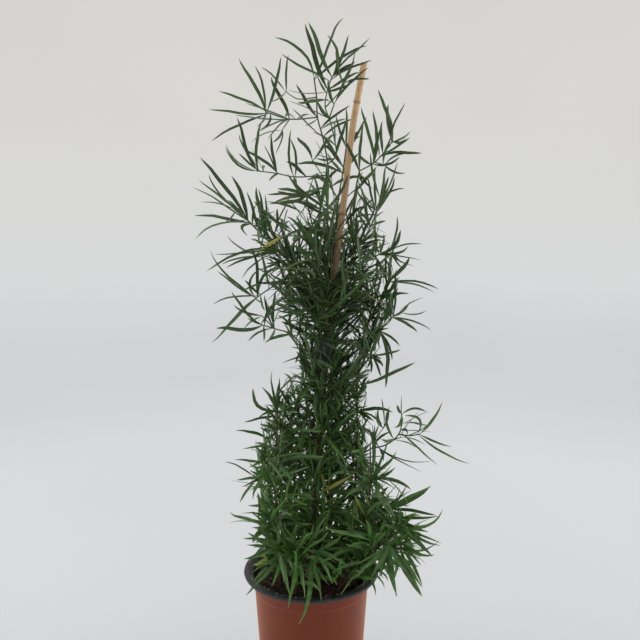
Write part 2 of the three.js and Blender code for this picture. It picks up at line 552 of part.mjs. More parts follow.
// Soil: a plug that fills the pot, with a lumpy top.
function makeSoil() {
  const neckFoot = POT_HEIGHT - BAND_HEIGHT;
  const wallAt = (z) => BASE_RADIUS + (NECK_RADIUS - BASE_RADIUS) * z / POT_HEIGHT - WALL - GAP;
  const rim = wallAt(SOIL_TOP) - BAND_STEP;
  const profile = [[0, FLOOR + GAP], [BASE_RADIUS - 5, FLOOR + GAP], [BASE_RADIUS - 3, FLOOR + 3],
    [wallAt(neckFoot) - BAND_STEP - 1, neckFoot - 3], [rim, SOIL_TOP - 3]];
  for (let i = SOIL_RINGS - 1; i > 0; i -= 1) profile.push([rim * i / SOIL_RINGS, SOIL_TOP]);
  profile.push([0, SOIL_TOP]);
  const shape = latheOf(profile, SOIL_SIDES);
  const places = shape.attributes.position;
  for (let i = 0; i < places.count; i += 1) {
    const [x, y, z] = [places.getX(i), places.getY(i), places.getZ(i)];
    if (z < SOIL_TOP - 4) continue;
    const lump = Math.sin(x * 0.13 + 1.1) * Math.cos(y * 0.11) + 0.6 * Math.sin(x * 0.07 - y * 0.19);
    places.setZ(i, z + SOIL_LUMP * lump);
  }
  return solidOf(shape).solid;
}

function makeTie() {
  const half = TIE_HEIGHT / 2;
  const profile = [[TIE_INNER, -half], [TIE_OUTER - 0.4, -half], [TIE_OUTER, 0], [TIE_OUTER - 0.4, half],
    [TIE_INNER, half], [TIE_INNER, -half]];
  const shape = latheOf(profile, TIE_SIDES);
  shape.translate(TIE_CENTRE[0], 0, TIE_CENTRE[1]);
  return solidOf(shape);
}

function makeCane(clearance = 0) {
  const curve = new THREE.CatmullRomCurve3(CANE.map(seen), false, 'catmullrom', 0.5);
  return rod(curve, [CANE_FOOT, CANE_TOP], CANE_SIDES, CANE_STEPS, clearance);
}

const cane = makeCane();
const tie = makeTie();
let soil = makeSoil().subtract(makeCane(GAP).solid);

// Lays out a plant's shoots: the stem rises from the soil, and each side shoot springs from it.
function shootsOf(plant) {
  const curves = [];
  plant.shoots.forEach((points, index) => {
    const places = points.map(seen);
    if (index === 0) {
      const [x, y] = plant.foot;
      const buried = new THREE.Vector3(x, y, SOIL_TOP - ROOT_DEPTH);
      places.unshift(buried, new THREE.Vector3(x, y, SOIL_TOP + 4));
    } else {
      places[0] = nearestOn(curves, places[0]).point;
    }
    curves.push(new THREE.CatmullRomCurve3(places, false, 'centripetal'));
  });
  return curves;
}

function stepsOf(curve) {
  return Math.max(3, Math.round(curve.getLength() / SHOOT_STEP));
}

// The nearest place on the middle line of the rods, which runs straight from ring to ring, and the way
// back down the shoot from there.
function nearestOn(curves, place) {
  let best = null;
  curves.forEach((curve) => {
    const rings = curve.getSpacedPoints(stepsOf(curve));
    for (let i = 1; i < rings.length; i += 1) {
      const straight = new THREE.Line3(rings[i - 1], rings[i]);
      const point = straight.closestPointToPoint(place, true, new THREE.Vector3());
      if (best && point.distanceTo(place) >= best.point.distanceTo(place)) continue;
      best = { point, down: rings[i - 1].clone().sub(rings[i]).normalize() };
    }
  });
  return best;
}

// The roots of a spray stand one below the other, close together.
function rootAt({ point, down }, index) {
  return point.clone().addScaledVector(down, index * ROOT_SPACING);
}

// Every cladode that the plant carries, spray by spray: the placed ones first, then the grown ones.
function spraysOf(plant, curves) {
  const sprays = plant.sprays.map(([at, ...tips]) => {
    const node = nearestOn(curves, seen(at));
    return tips.map((tip, index) => (shift) => placedBlade(rootAt(node, index), tip, shift));
  });
  const roll = dice(plant.seed);
  const { from, to, spacing, reach, lift, swing } = plant.fill;
  curves.forEach((curve, index) => {
    const length = curve.getLength();
    const start = index === 0 ? from : spacing;
    for (let at = start; at < Math.min(to, length); at += spacing * FILL_SPACING) {
      const node = nearestOn([curve], curve.getPointAt(at / length));
      const grown = [];
      for (let i = 0; i < FILL_BLADES; i += 1) {
        const bearing = (i % 2 ? 0.5 : -0.5) * Math.PI + roll(-swing, swing);
        const rise = THREE.MathUtils.degToRad(roll(lift[0], lift[1]));
        const long = roll(reach[0], reach[1]);
        const arch = roll(2, 12);
        const width = roll(3.4, 4.8);
        const tilt = roll(-1.4, 1.4);
        const root = rootAt(node, i);
        grown.push((shift) => grownBlade(root, bearing + shift * 0.04, rise, long, arch, width, tilt));
      }
      sprays.push(grown);
    }
  });
  return sprays;
}

function rodOf(plant, curve, index, clearance = 0) {
  const radius = index === 0 ? plant.radius : plant.radius * THIN_SHOOT;
  const tip = Math.max(THINNEST_TIP, radius * TAPER);
  return rod(curve, [radius, tip], index === 0 ? STEM_SIDES : SHOOT_SIDES, stepsOf(curve), clearance);
}

const plants = PLANTS.map((plant) => {
  const curves = shootsOf(plant);
  const rods = curves.map((curve, index) => rodOf(plant, curve, index));
  soil = soil.subtract(rodOf(plant, curves[0], 0, HOLE_GAP).solid);
  return { plant, curves, rods, blades: [] };
});

// Each blade keeps clear of the pot, soil, cane and tie, of every other plant and of the other sprays
// of its own: where it would cross one it is bent aside, and it is left out where no bend clears it.
const pot = makePot();
const potBox = new THREE.Box3(
  new THREE.Vector3(-RIM_RADIUS, -RIM_RADIUS, 0),
  new THREE.Vector3(RIM_RADIUS, RIM_RADIUS, POT_HEIGHT),
);
const standing = [cane, tie, { solid: pot, box: potBox }, { solid: soil, box: potBox }];
const taken = [];
const SHIFTS = [0, 7, -7, 14, -14, 22, -22];

function isClear(home, spray, shape) {
  const wide = blade(shape, CLEARANCE);
  const hits = (other) => wide.box.intersectsBox(other.box) && !wide.solid.intersect(other.solid).isEmpty();
  if (standing.some(hits)) return false;
  if (plants.some((other) => other !== home && other.rods.some(hits))) return false;
  return !taken.some((other) => other.spray !== spray && hits(other));
}

function addSpray(home, spray) {
  spray.forEach((bladeAt) => {
    const shift = SHIFTS.find((step) => isClear(home, spray, bladeAt(step)));
    if (shift === undefined) return;
    const made = { spray, ...blade(bladeAt(shift)) };
    taken.push(made);
    home.blades.push(made.solid);
  });
}

plants.forEach((home) => {
  home.sprays = spraysOf(home.plant, home.curves);
  home.sprays.slice(0, home.plant.sprays.length).forEach((spray) => addSpray(home, spray));
});
plants.forEach((home) => {
  home.sprays.slice(home.plant.sprays.length).forEach((spray) => addSpray(home, spray));
});

const group = new THREE.Group();

function addNode(name, geometry, colour, roughness) {
  const material = new THREE.MeshStandardMaterial({ color: colour, roughness, metalness: 0 });
  material.flatShading = true;
  const mesh = new THREE.Mesh(geometry, material);
  mesh.name = name;
  group.add(mesh);
}

addNode('pot', outerSkin(pot), 0x8a4a38, 0.55);
addNode('soil', outerSkin(soil), 0x2e2420, 0.95);
addNode('cane', outerSkin(cane.solid), 0xb08a5e, 0.6);
addNode('tie', outerSkin(tie.solid), 0x1c2226, 0.5);
plants.forEach(({ plant, rods, blades }) => {
  const leafy = outerSkin(joined([...rods.map((one) => one.solid), ...blades]));
  addNode(plant.name, leafy, 0x2f4a26, 0.5);
});

export default group;
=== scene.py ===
"""A potted sicklethorn asparagus: a climbing asparagus tied up a bamboo cane in a nursery pot.

Metres, +Z up, with the origin at the middle of the pot's base and the plant's best side towards -Y.
The plant table and the sizes of small things are in millimetres, and become metres where a mesh is made.
"""

import math

import bpy
import numpy as np
from mathutils import Euler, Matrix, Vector


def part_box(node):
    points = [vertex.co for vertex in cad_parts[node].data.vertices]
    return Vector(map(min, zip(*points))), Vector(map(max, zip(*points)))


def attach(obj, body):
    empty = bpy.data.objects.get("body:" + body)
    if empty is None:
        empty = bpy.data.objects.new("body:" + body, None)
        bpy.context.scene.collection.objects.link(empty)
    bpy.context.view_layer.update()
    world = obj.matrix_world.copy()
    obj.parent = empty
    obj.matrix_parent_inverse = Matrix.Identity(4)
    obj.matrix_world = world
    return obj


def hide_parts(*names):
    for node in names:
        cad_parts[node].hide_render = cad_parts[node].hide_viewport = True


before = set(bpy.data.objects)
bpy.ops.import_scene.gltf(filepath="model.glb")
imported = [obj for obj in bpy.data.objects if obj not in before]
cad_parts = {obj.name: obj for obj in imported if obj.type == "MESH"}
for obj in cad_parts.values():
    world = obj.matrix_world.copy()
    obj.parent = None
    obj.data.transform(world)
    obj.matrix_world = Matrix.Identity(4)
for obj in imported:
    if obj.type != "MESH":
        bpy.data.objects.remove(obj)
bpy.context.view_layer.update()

bl_info = {
    "name": "Potted sicklethorn asparagus",
    "version": (1, 0, 0),
    "blender": (4, 5, 0),
    "location": "View3D > Sidebar > Plant",
    "description": "Builds a climbing asparagus on a bamboo cane in a nursery pot",
    "category": "Add Mesh",
}

MM = 0.001
POT_LOW, POT_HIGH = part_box("pot")
TIE_LOW, TIE_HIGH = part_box("tie")

# The pot and the soil, which the leaves keep clear of.
RIM_RADIUS = POT_HIGH.x / MM
POT_HEIGHT = POT_HIGH.z / MM
NECK_RADIUS = RIM_RADIUS - 11
BASE_RADIUS = RIM_RADIUS - 21
LIP_HEIGHT = 5
BAND_HEIGHT = 22
BAND_STEP = 1.2
WALL = 1.6
DRAIN_HOLES = 6
DRAIN_RADIUS = 4.5
DRAIN_CIRCLE = 42
SOIL_TOP = POT_HEIGHT - 15
ROOT_DEPTH = 22

# The cane's middle line as it is seen, x, z and depth y, and the heights of its joints.
CANE = [
    [-12, 20, 0], [2, 210, 0], [19, 430, 0], [29.3, 525, 0], [41, 620, 0], [49, 690, 0], [62.6, 767, 0],
]
CANE_FOOT = 4.1
CANE_TOP = 3.8
CANE_JOINTS = [60, 205, 338, 468, 592, 722]
CANE_RING_STEP = 9.0
# The rings round a joint: how far each stands out, and how far up from the joint it lies.
JOINT_RINGS = [(-0.05, -3), (-0.3, -1.2), (0.25, -0.6), (0.62, 0.2), (0.5, 1.2), (0.12, 2.6)]

# The eye that the plant table is seen from.
EYE = Vector((11, -847, 561))

# The narrowest that a cladode is modelled, and how far apart they spring from a shoot.
NARROWEST = 3.2
ROOT_SPACING = 1.1
# How strongly those of the table bend by themselves, against those that are grown.
TABLE_LIMP = 0.7
# A side shoot against its stem, a shoot's tip against its foot, and the thinnest that it gets.
THIN_SHOOT = 0.55
TAPER = 0.55
THINNEST_TIP = 0.7
# Cladodes grown by the table's rule: how many together, at every how many of its places, and their form.
FILL_BLADES = 2
FILL_SPACING = 2
FILL_ARCH = (2, 12)
FILL_WIDTH = (3.4, 4.8)
FILL_TURN = 1.4
# How far in depth a cladode is moved, in turn, until it is clear; a grown one turns by so much per mm.
SHIFTS = [0, 7, -7, 14, -14, 22, -22]
SHIFT_TURN = 0.04

# How far the thick of the foliage reaches as it is seen: height, left edge and right edge, and then
# how far it reaches to the front and to the back.
ENVELOPE = [
    [120, -72, 138, -98, 100], [158, -80, 155, -98, 108], [211, -67, 145, -92, 110],
    [263, -70, 96, -86, 106], [314, -70, 80, -80, 98], [365, -57, 74, -72, 86],
    [403, -30, 74, -62, 72], [434, -16, 88, -58, 70], [464, -47, 100, -70, 92],
    [513, -60, 112, -84, 104], [561, -79, 96, -84, 100], [609, -79, 89, -66, 84],
    [650, -52, 82, -52, 62], [700, -30, 84, -42, 48], [760, -20, 60, -30, 34],
]

# How finely the meshes are made, and the steps along a rod and along a line.
POT_SIDES = 96
SOIL_SIDES = 96
SOIL_RINGS = 44
CANE_SIDES = 16
ROD_STEPS = [5, 10, 18, 34, 60, 110]
ROD_STEP = 6.5
LINE_STEP = 3.0

# Growth. The cane stands clear of leaves above this height, as it is seen.
CANE_SHOWS_FROM = 520
# How far leaves keep from the pot, and where along a cladode that and the cane's view are checked.
LEAF_GAP = 6
CLEAR_AT = (0.3, 0.5, 0.7, 0.85, 1.0)
CANE_CLEAR_AT = (0, 0.15, 0.3, 0.45, 0.6, 0.75, 0.9, 1.0)
# Twigs: where along them their whorls are, how high they grow, and how they leave the shoot.
TWIG_NODES = [0.5, 1.0]
TWIGS_END = 600
FIRST_STEM_TWIG = 34
FIRST_SIDE_TWIG = 9
TWIG_LENGTH = (10, 34)
TWIG_LIFT = (5, 55)
TWIG_SWING = 2.2
# Radii at the foot and at the tip.
TWIG_RADII = (0.715, 0.385)
FINE_TWIG_RADII = (0.85, 0.5)
THREAD_RADII = (0.437, 0.057)
# Whorls: how far their cladodes lean from the shoot, in degrees, and how long they are.
WHORL_LEAN = (24, 72)
WHORL_REACH = (36, 60)
# How wide they are, and how much wider the low ones are, by height.
WHORL_WIDTH = (2.8, 4.4)
LOW_EXTRA_WIDTH = (1.2, 2.5)
LOW_SHARE = [(170, 1), (310, 0)]
# How fresh the cladodes are by height, how much that varies, and the share without any yellow.
FRESHNESS = [(140, 0.78), (300, 0.62), (420, 0.34), (820, 0.2)]
# The spread is partly real, between fresher and older tissue, and partly painted light, making some cladodes
# look lit and others shaded.
FRESH_SPREAD = 0.22
HEALTHY = 0.994
# How woody each is, from green at 0 to bark at 1, and the places of the two finishes on a leafy piece.
WOODY = {"stem": 0.75, "side shoot": 0.4, "twig": 0.15, "fine twig": 0.25, "thorn": 0.5}
STEM_FINISH = 0
BLADE_FINISH = 1
# A stem swells where a twig leaves it, and below this height it has a thorn there.
NODE_REACH = 1.8
NODE_SWELL = 0.3
THORNS_END = 470
THORN_RADIUS = 0.55
THORN_LENGTH = (2.2, 3.4)
# How many cladodes of the table have a companion, by height: fewer in the airy top.
COMPANY = [(440, 0.75), (560, 0.5), (620, 0.15)]
# How far beyond the thick of the foliage a companion may reach, and how it differs from its neighbour:
# its turn in radians, its length as a share, its depth, and its width as seen.
COMPANY_SPARE = 14
COMPANION_TURN = (0.16, 0.5)
COMPANION_REACH = (0.55, 0.95)
COMPANION_DEPTH = 34
COMPANION_WIDTH = (1.7, 3.1)
# How far apart the twigs stand by height, as a share of the usual spacing.
CROWDING = [(150, 1.0), (320, 1.1), (400, 0.9), (480, 0.95), (540, 1.7), (610, 3.0)]
# Whorls on the main stems themselves: from and to which height, how far apart, and how far up the first.
HEART_LOW = 250
HEART_HIGH = 560
HEART_SPACING = 10
HEART_START = 60
# How close the twigs stand on the lush shoots, as a share of the usual spacing.
LUSH = {"right_low_shoot": 0.55, "right_rim_shoot": 0.4, "front_rim_shoot": 0.6, "left_low_shoot": 0.85}
# The tie tape's radius, and its folds from the foot up: how high, and how much wider or narrower than
# the one below.
TIE_RADIUS = 13.8
TAPE_FOLDS = [
    (0.06, 1.05), (0.28, 1.04), (0.34, 0.96), (0.38, 1.05), (0.60, 1.02), (0.65, 0.95), (0.69, 1.05),
    (0.92, 1.0), (0.97, 0.95),
]
# Small things on the soil and on the lip: how many, over which part of the lip, and their sizes.
ROOT_THREADS = 14
LIP_SPECKS = 26
DUSTY_ARC = (3.5, 5.3)
SPECK_SIZES = (0.5, 1.6)

# The seeded generator, and the seeds that aren't in the plant table.
DICE_FACTOR = 1664525
DICE_STEP = 1013904223
DICE_SPAN = 2 ** 32
SCENE_SEED = 7919
LITTER_SEED = 4021

# The paper sweep's section, in metres: radius and height.
SWEEP = [(2.2, -0.0002), (2.6, 0.06), (2.9, 0.22), (3.08, 0.5), (3.15, 0.9), (3.2, 3.2)]

# The camera.
FOCAL_PIXELS = 700
FRAME_PIXELS = 640
CAMERA_PITCH = 6.5

# Each plant is one leafy stem: foot [x, y], where it stands in the soil; shoots, the first being the
# stem and the others springing from it, as lists of [x, z, y]; sprays, each a place on a shoot and
# its cladodes, as [x, z, y] of the tip, the bow to the left of the way from root to tip, and the
# width as seen; and fill, the rule for the other cladodes: from where to where along the stem, how far
# apart, how long, how far they rise in degrees, and how far they swing to the sides in radians.
PLANTS = [
    {
        "name": "leader_stem", "seed": 11, "foot": [-10, -14], "radius": 1.6,
        "shoots": [
            [[-6, 230, -12], [3, 330, -10], [12, 415, -7.5], [12.5, 445, -7.5], [19.5, 509, -7.5],
             [20, 580, -3], [20, 651, 0], [14, 683, 2], [8, 705, 2], [7, 728, 0], [4, 750, 0]],
            [[20, 651, 0], [30, 660, -5], [28, 680, -7], [22, 704, -6], [17, 716, -6], [20, 737, -7],
             [25, 751, -8]],
            [[22, 704, -6], [28, 721, -9]],
            [[8, 705, 2], [-25, 703, -9], [-53, 711, -14]],
            [[19, 637, 0], [-20, 636, 8], [-40, 640, 12], [-65, 643, 16]],
        ],
        "sprays": [
            [[4, 750, 0], [-40, 797, -6, -20, 3.6], [36, 820, 10, 0, 3], [66, 787, 14, 9, 3]],
            [[25, 751, -8], [-1, 813, -14, 4, 5], [19, 799, -16, -20, 3.4], [45, 798, -2, -3, 3.5],
             [69, 793, 12, 8, 2], [72, 769, -18, 8, 2.2], [-34, 778, -26, 2, 3]],
            [[20, 737, -7], [-7, 811, 4, 3, 5.5], [58, 757, 10, 3, 3], [44, 742, -30, -2, 2],
             [-28, 737, -16, 6, 2], [8, 752, -24, 2, 2.4]],
            [[28, 721, -9], [67, 763, -20, 5, 3.2], [20, 748, -18, 3, 4]],
            [[21, 704, -6], [8, 724, -14, 4, 4.5], [-28, 724, -20, -3, 2]],
            [[8, 704, 2], [-17, 743, 4, 2, 4.2], [-7, 695, 16, 2, 2]],
            [[14, 683, 2], [-21, 715, 8, 3, 2], [52, 703, 18, 7, 2.6]],
            [[30, 660, -5], [14, 684, -12, -2, 4], [43, 702, -14, 2, 4], [6, 658, -20, 5, 2.4]],
            [[-25, 703, -9], [-48, 751, -6, -3, 4.4], [-90, 708, -26, 4, 2.2], [-62, 688, 6, -6, 2.4]],
            [[-53, 711, -14], [-84, 772, -8, -5, 4.4], [-34, 774, -18, -4, 3.6], [-107, 736, -24, -4, 3],
             [-120, 713, -10, 3, 3.4], [-118, 678, -30, -5, 3.2], [-62, 690, -30, 10, 3]],
            [[-65, 643, 16], [-101, 670, 4, 15, 2.6], [-100, 674, 26, 14, 2.2], [-85, 705, 20, 8, 4],
             [-60, 700, 12, 7, 3.6], [-86, 686, 34, 4, 2.4], [-85, 664, 10, 3, 3]],
            [[-40, 640, 12], [-46, 685, 8, 4, 3.6], [-80, 670, -6, -4, 4], [-50, 631, 26, -3, 3]],
            [[-20, 636, 8], [-22, 691, 12, 10, 3.2], [-24, 681, -4, -8, 3], [-16, 618, 14, 0, 1.8]],
        ],
        "fill": {"from": 150, "to": 600, "spacing": 27, "reach": [42, 60], "lift": [-15, 40], "swing": 1},
    },
    {
        "name": "right_stem", "seed": 23, "foot": [10, -18], "radius": 1.5,
        "shoots": [
            [[14, 230, -14], [21, 330, -9], [25.3, 415, -4.6], [25.6, 445, -4.8], [24, 500, -9],
             [28, 563, -9.5], [36, 579, -8.5], [45, 590, -7], [51, 610, -6], [56, 635, -4], [58, 643, -4]],
            [[58, 643, -4], [68, 648, -6], [76, 653, -8], [90, 668, -10], [97, 678, -12]],
            [[24, 500, -9], [44, 506, -34], [62, 512, -54]],
        ],
        "sprays": [
            [[58, 643, -4], [62, 697, -2, 3, 3.6], [40, 679, -14, -2, 3.6], [73, 622, 8, -2, 2.6]],
            [[76, 653, -8], [59, 717, -12, -3, 4], [73, 713, -4, -8, 3.8], [83, 692, 6, 3, 4],
             [106, 659, -18, -9, 3], [56, 664, -18, 4, 3.6]],
            [[97, 678, -12], [79, 737, -16, -6, 4], [91, 720, -8, 4, 5.5], [112, 722, -20, 9, 2.6],
             [118, 688, 2, -3, 2.2], [88, 670, -30, 2, 3]],
            [[86, 663, -9], [118, 681, -20, -2, 2.6], [84, 701, -22, 3, 3.4]],
        ],
        "fill": {"from": 165, "to": 560, "spacing": 29, "reach": [42, 60], "lift": [-15, 40], "swing": 1},
    },
    {
        "name": "right_upper_stem", "seed": 37, "foot": [20, 4], "radius": 1.5,
        "shoots": [
            [[22, 230, 4], [25, 330, 4], [26, 415, 3.2], [27, 445, 4], [33, 500, 7], [44, 540, 6],
             [55, 551, 5], [63, 562, 4], [71, 576, 3], [76, 587, 2], [79, 600, 1]],
            [[33, 500, 7], [52, 510, 34], [72, 522, 56]],
            [[55, 551, 5], [72, 540, -8], [84, 545, -14]],
        ],
        "sprays": [
            [[79, 598, 1], [76, 646, -4, 2, 3], [68, 637, 6, 3, 3], [88, 651, -6, -6, 3.8],
             [93, 637, 8, -2, 4], [94, 627, -16, -2, 3.4], [101, 635, 2, -3, 3.4], [57, 633, -16, 5, 3]],
            [[72, 578, 3], [89, 596, -8, 6, 2], [90, 584, 12, 2, 3], [62, 614, -4, 2, 3],
             [65, 616, 12, 3, 4], [56, 595, -16, 3, 3.4]],
            [[56, 551, 5], [50, 591, -4, 3, 3], [56, 595, 8, 3, 3.6], [43, 598, 16, 3, 3],
             [67, 583, 14, -3, 3.4], [78, 574, -6, 0, 3.6], [38, 567, -16, -2, 4]],
            [[84, 545, -14], [107, 574, -22, -14, 4.6], [88, 568, -10, -2, 3.4], [71, 562, -18, -3, 2.8],
             [118, 552, -26, -6, 3.2], [132, 537, -10, 4, 2]],
        ],
        "fill": {"from": 175, "to": 540, "spacing": 28, "reach": [42, 60], "lift": [-10, 40], "swing": 1},
    },
    {
        "name": "left_stem", "seed": 41, "foot": [-34, -4], "radius": 1.8,
        "shoots": [
            [[-38, 230, -7], [-37, 268, -8], [-29, 320, -7], [-18, 360, -4], [0, 390, -1], [10, 411, 0],
             [10.6, 447, 0], [5, 478, 0], [-6, 510, -2], [-20, 530, -4], [-40, 548, -6], [-57, 566, -8],
             [-76, 585, -10]],
            [[-20, 530, -4], [-35, 512, -10], [-50, 503, -14], [-67, 491, -18]],
            [[0, 390, -1], [-10, 430, -12], [-24, 447, -18], [-45, 454, -22], [-61, 459, -24]],
            [[-6, 510, -2], [-18, 540, 24], [-30, 560, 44], [-36, 585, 62]],
        ],
        "sprays": [
            [[-76, 585, -10], [-130, 660, -18, -3, 4.5], [-93, 637, -4, -5, 5], [-142, 624, -30, -4, 2.2],
             [-100, 610, -34, 0, 2], [-140, 590, 2, -4, 4], [-139, 563, -20, -18, 2.2],
             [-76, 566, 4, -20, 4], [-66, 603, -26, 2, 2.4]],
            [[-58, 567, -8], [-75, 619, -4, 4, 3.6], [-66, 624, -14, -2, 4.6], [-61, 622, 4, -2, 3.2],
             [-54, 616, -20, -2, 2.8]],
            [[-42, 550, -6], [-116, 545, 6, 4, 2.6], [-127, 524, -16, -18, 3.4], [-103, 530, -2, -3, 3],
             [-62, 545, -20, 0, 4.4], [-68, 563, -26, 3, 3]],
            [[-67, 491, -18], [-122, 550, -10, 12, 2.8], [-113, 524, -26, 4, 2], [-72, 553, -8, -8, 4],
             [-33, 529, -36, 22, 3.6], [-120, 484, -34, -8, 2], [-122, 435, -18, -3, 4.8],
             [-56, 476, -32, -2, 2.6], [-80, 513, -34, 2, 2.6]],
            [[-61, 459, -24], [-97, 499, -20, 6, 3.2], [-77, 466, -44, 0, 2], [-116, 457, -32, 10, 4.6],
             [-58, 438, -34, 2, 3], [-30, 492, -34, 14, 4]],
            [[-45, 454, -22], [-42, 501, -20, 5, 3.6], [-52, 439, -12, 2, 3]],
            [[-24, 447, -18], [-57, 435, -12, -6, 4], [-39, 471, -28, -8, 3], [-27, 484, -14, 2, 3]],
        ],
        "fill": {"from": 140, "to": 560, "spacing": 30, "reach": [42, 62], "lift": [-20, 35], "swing": 1},
    },
    {
        "name": "front_stem", "seed": 53, "foot": [-2, -30], "radius": 1.6,
        "shoots": [
            [[6, 230, -22], [12, 330, -17], [19, 415, -9], [19, 445, -9.4], [14, 500, -17], [6, 560, -24],
             [-2, 596, -28], [-5, 615, -28]],
            [[16, 478, -14], [26, 486, -40], [36, 480, -62]],
            [[6, 560, -24], [-14, 566, -46], [-30, 566, -66]],
            [[10, 530, -20], [28, 528, -44], [50, 522, -62]],
            [[2, 580, -26], [12, 598, -30], [18, 632, -30]],
        ],
        "sprays": [
            [[-5, 615, -28], [-40, 621, -34, -4, 4.4], [-38, 606, -24, 6, 4.4], [14, 618, -46, 3, 3.4],
             [-52, 614, -46, -6, 3.4], [-28, 640, -40, 3, 3]],
            [[12, 598, -30], [20, 653, -38, -2, 5], [-30, 608, -44, -6, 4.4], [28, 580, -52, 2, 4]],
            [[18, 632, -30], [-5, 632, -40, -6, 3], [36, 646, -36, 3, 3.4], [6, 641, -48, 2, 2.6]],
        ],
        "fill": {"from": 150, "to": 620, "spacing": 26, "reach": [42, 60], "lift": [-20, 35], "swing": 1},
    },
    {
        "name": "rear_stem", "seed": 67, "foot": [4, 20], "radius": 1.6,
        "shoots": [
            [[8, 230, 20], [14, 330, 15], [19.5, 415, 9.2], [20, 445, 9.4], [22, 500, 16], [28, 560, 18],
             [33, 610, 13], [38, 640, 11], [42, 670, 13]],
            [[22, 500, 16], [0, 520, 40], [-26, 545, 62], [-44, 562, 76]],
            [[28, 560, 18], [48, 580, 44], [66, 604, 66]],
            [[33, 610, 13], [18, 632, 44], [2, 655, 66]],
            [[20, 460, 11], [46, 474, 46], [66, 490, 76]],
            [[20, 460, 11], [-10, 470, 46], [-30, 480, 78]],
        ],
        "sprays": [
            [[38, 640, 11], [-18, 652, -14, -10, 4.2], [20, 664, 22, 2, 2.6], [56, 664, 22, 2, 4]],
            [[42, 670, 13], [30, 708, 16, 3, 3], [41, 717, 8, -3, 2.8], [56, 690, 26, 2, 4],
             [66, 706, 20, -4, 3]],
        ],
        "fill": {"from": 160, "to": 660, "spacing": 27, "reach": [44, 62], "lift": [-10, 45], "swing": 1},
    },
    {
        "name": "right_free_stem", "seed": 79, "foot": [36, 2], "radius": 1.8,
        "shoots": [
            [[50, 200, 2], [55, 260, 0], [57, 300, 0], [57, 380, 0], [60, 425, 1], [68, 458, 3],
             [82, 485, 3], [95, 512, 2]],
            [[60, 425, 1], [75, 444, -6], [84, 451, -8], [92, 461, -8], [100, 469, -6]],
            [[57, 395, 0], [66, 412, -8], [75, 421, -10]],
            [[57, 290, 0], [66, 298, -8], [76, 304, -12], [90, 307, -16], [103, 315, -18], [111, 327, -20],
             [112, 348, -22]],
            [[107, 321, -19], [122, 320, -26], [135, 322, -28]],
            [[60, 425, 1], [76, 448, 30], [84, 476, 54]],
            [[57, 350, 0], [52, 372, 26], [44, 392, 50]],
        ],
        "sprays": [
            [[95, 512, 2], [119, 541, -4, -4, 5], [155, 500, -14, 12, 2.6], [150, 497, 10, 10, 2.2],
             [104, 560, 8, 6, 4], [74, 546, 14, -4, 4]],
            [[100, 469, -6], [120, 487, -2, -6, 3.4], [147, 451, -16, 8, 2.6], [130, 450, 4, 5, 3.6],
             [106, 510, -14, 6, 3.6], [96, 500, 6, 3, 3.6]],
            [[85, 451, -8], [108, 432, -14, 5, 3.4], [89, 380, -22, 16, 4.6], [100, 415, -2, 8, 3.2]],
            [[75, 421, -10], [110, 428, -16, -3, 3.4], [86, 394, -20, 3, 3], [88, 407, -34, 2, 2],
             [73, 399, 2, 3, 2.8], [52, 446, -30, 4, 3.4]],
            [[57, 382, 0], [128, 412, -10, -4, 4.8], [67, 374, 14, 0, 2.2]],
            [[57, 366, 0], [68, 372, -10, 0, 2.6], [36, 404, -16, 4, 4]],
            [[84, 306, -14], [90, 287, -20, 3, 3], [152, 288, -22, -16, 2.6], [141, 271, -34, -3, 2.2],
             [80, 335, -28, 5, 3]],
            [[103, 315, -18], [98, 358, -10, 14, 3.6], [131, 304, -4, 6, 2.2], [86, 316, -34, 3, 2.8]],
            [[112, 348, -22], [106, 359, -28, 2, 3.4], [142, 350, -18, 12, 3], [103, 330, -32, 8, 4.4],
             [112, 372, -16, 1, 1.8]],
            [[112, 327, -20], [119, 319, -30, 10, 3], [150, 325, -14, 3, 2], [158, 281, -36, 0, 2.6]],
            [[135, 322, -28], [163, 364, -36, -5, 4.6], [176, 306, -20, -4, 3.2], [198, 283, -44, -8, 2.8],
             [116, 346, -38, -24, 3.4]],
        ],
        "fill": {"from": 170, "to": 560, "spacing": 27, "reach": [42, 60], "lift": [-20, 40], "swing": 1},
    },
    {
        "name": "right_low_shoot", "seed": 83, "foot": [44, -20], "radius": 1.7,
        "shoots": [
            [[56, 165, -23], [66, 205, -27], [73, 240, -28], [75, 268, -28]],
            [[66, 205, -27], [82, 214, -34], [98, 226, -40]],
            [[56, 165, -23], [72, 172, 4], [92, 184, 22]],
        ],
        "sprays": [
            [[75, 268, -28], [107, 300, -34, -5, 5], [125, 252, -40, 8, 4.6], [70, 330, -26, -12, 4.6],
             [52, 306, -40, 4, 4], [44, 262, -56, 5, 4.4], [96, 318, -10, -4, 3.6], [90, 250, -60, 3, 4]],
            [[98, 226, -40], [150, 254, -46, -5, 5.2], [120, 256, -32, -4, 3.8], [157, 216, -54, 7, 4.8],
             [127, 209, -70, 3, 3.4], [76, 214, -64, 4, 4.4]],
        ],
        "fill": {"from": 45, "to": 400, "spacing": 22, "reach": [46, 62], "lift": [-20, 30], "swing": 1},
    },
    {
        "name": "right_rim_shoot", "seed": 97, "foot": [34, -38], "radius": 1.7,
        "shoots": [
            [[62, 145, -46], [82, 172, -54], [103, 192, -58], [120, 200, -60]],
            [[98, 188, -57], [108, 180, -60], [116, 175, -62]],
            [[72, 160, -50], [84, 160, -56], [96, 166, -62]],
        ],
        "sprays": [
            [[120, 200, -60], [166, 226, -66, -18, 4.2], [137, 207, -84, -3, 4], [148, 195, -52, 3, 4],
             [165, 180, -72, 2, 4], [112, 228, -78, 4, 4.4], [90, 208, -88, 3, 5]],
            [[116, 175, -62], [162, 184, -62, -16, 4], [157, 165, -76, -7, 5], [140, 150, -54, 3, 4],
             [142, 122, -70, 5, 4.8], [141, 109, -86, -3, 5.2]],
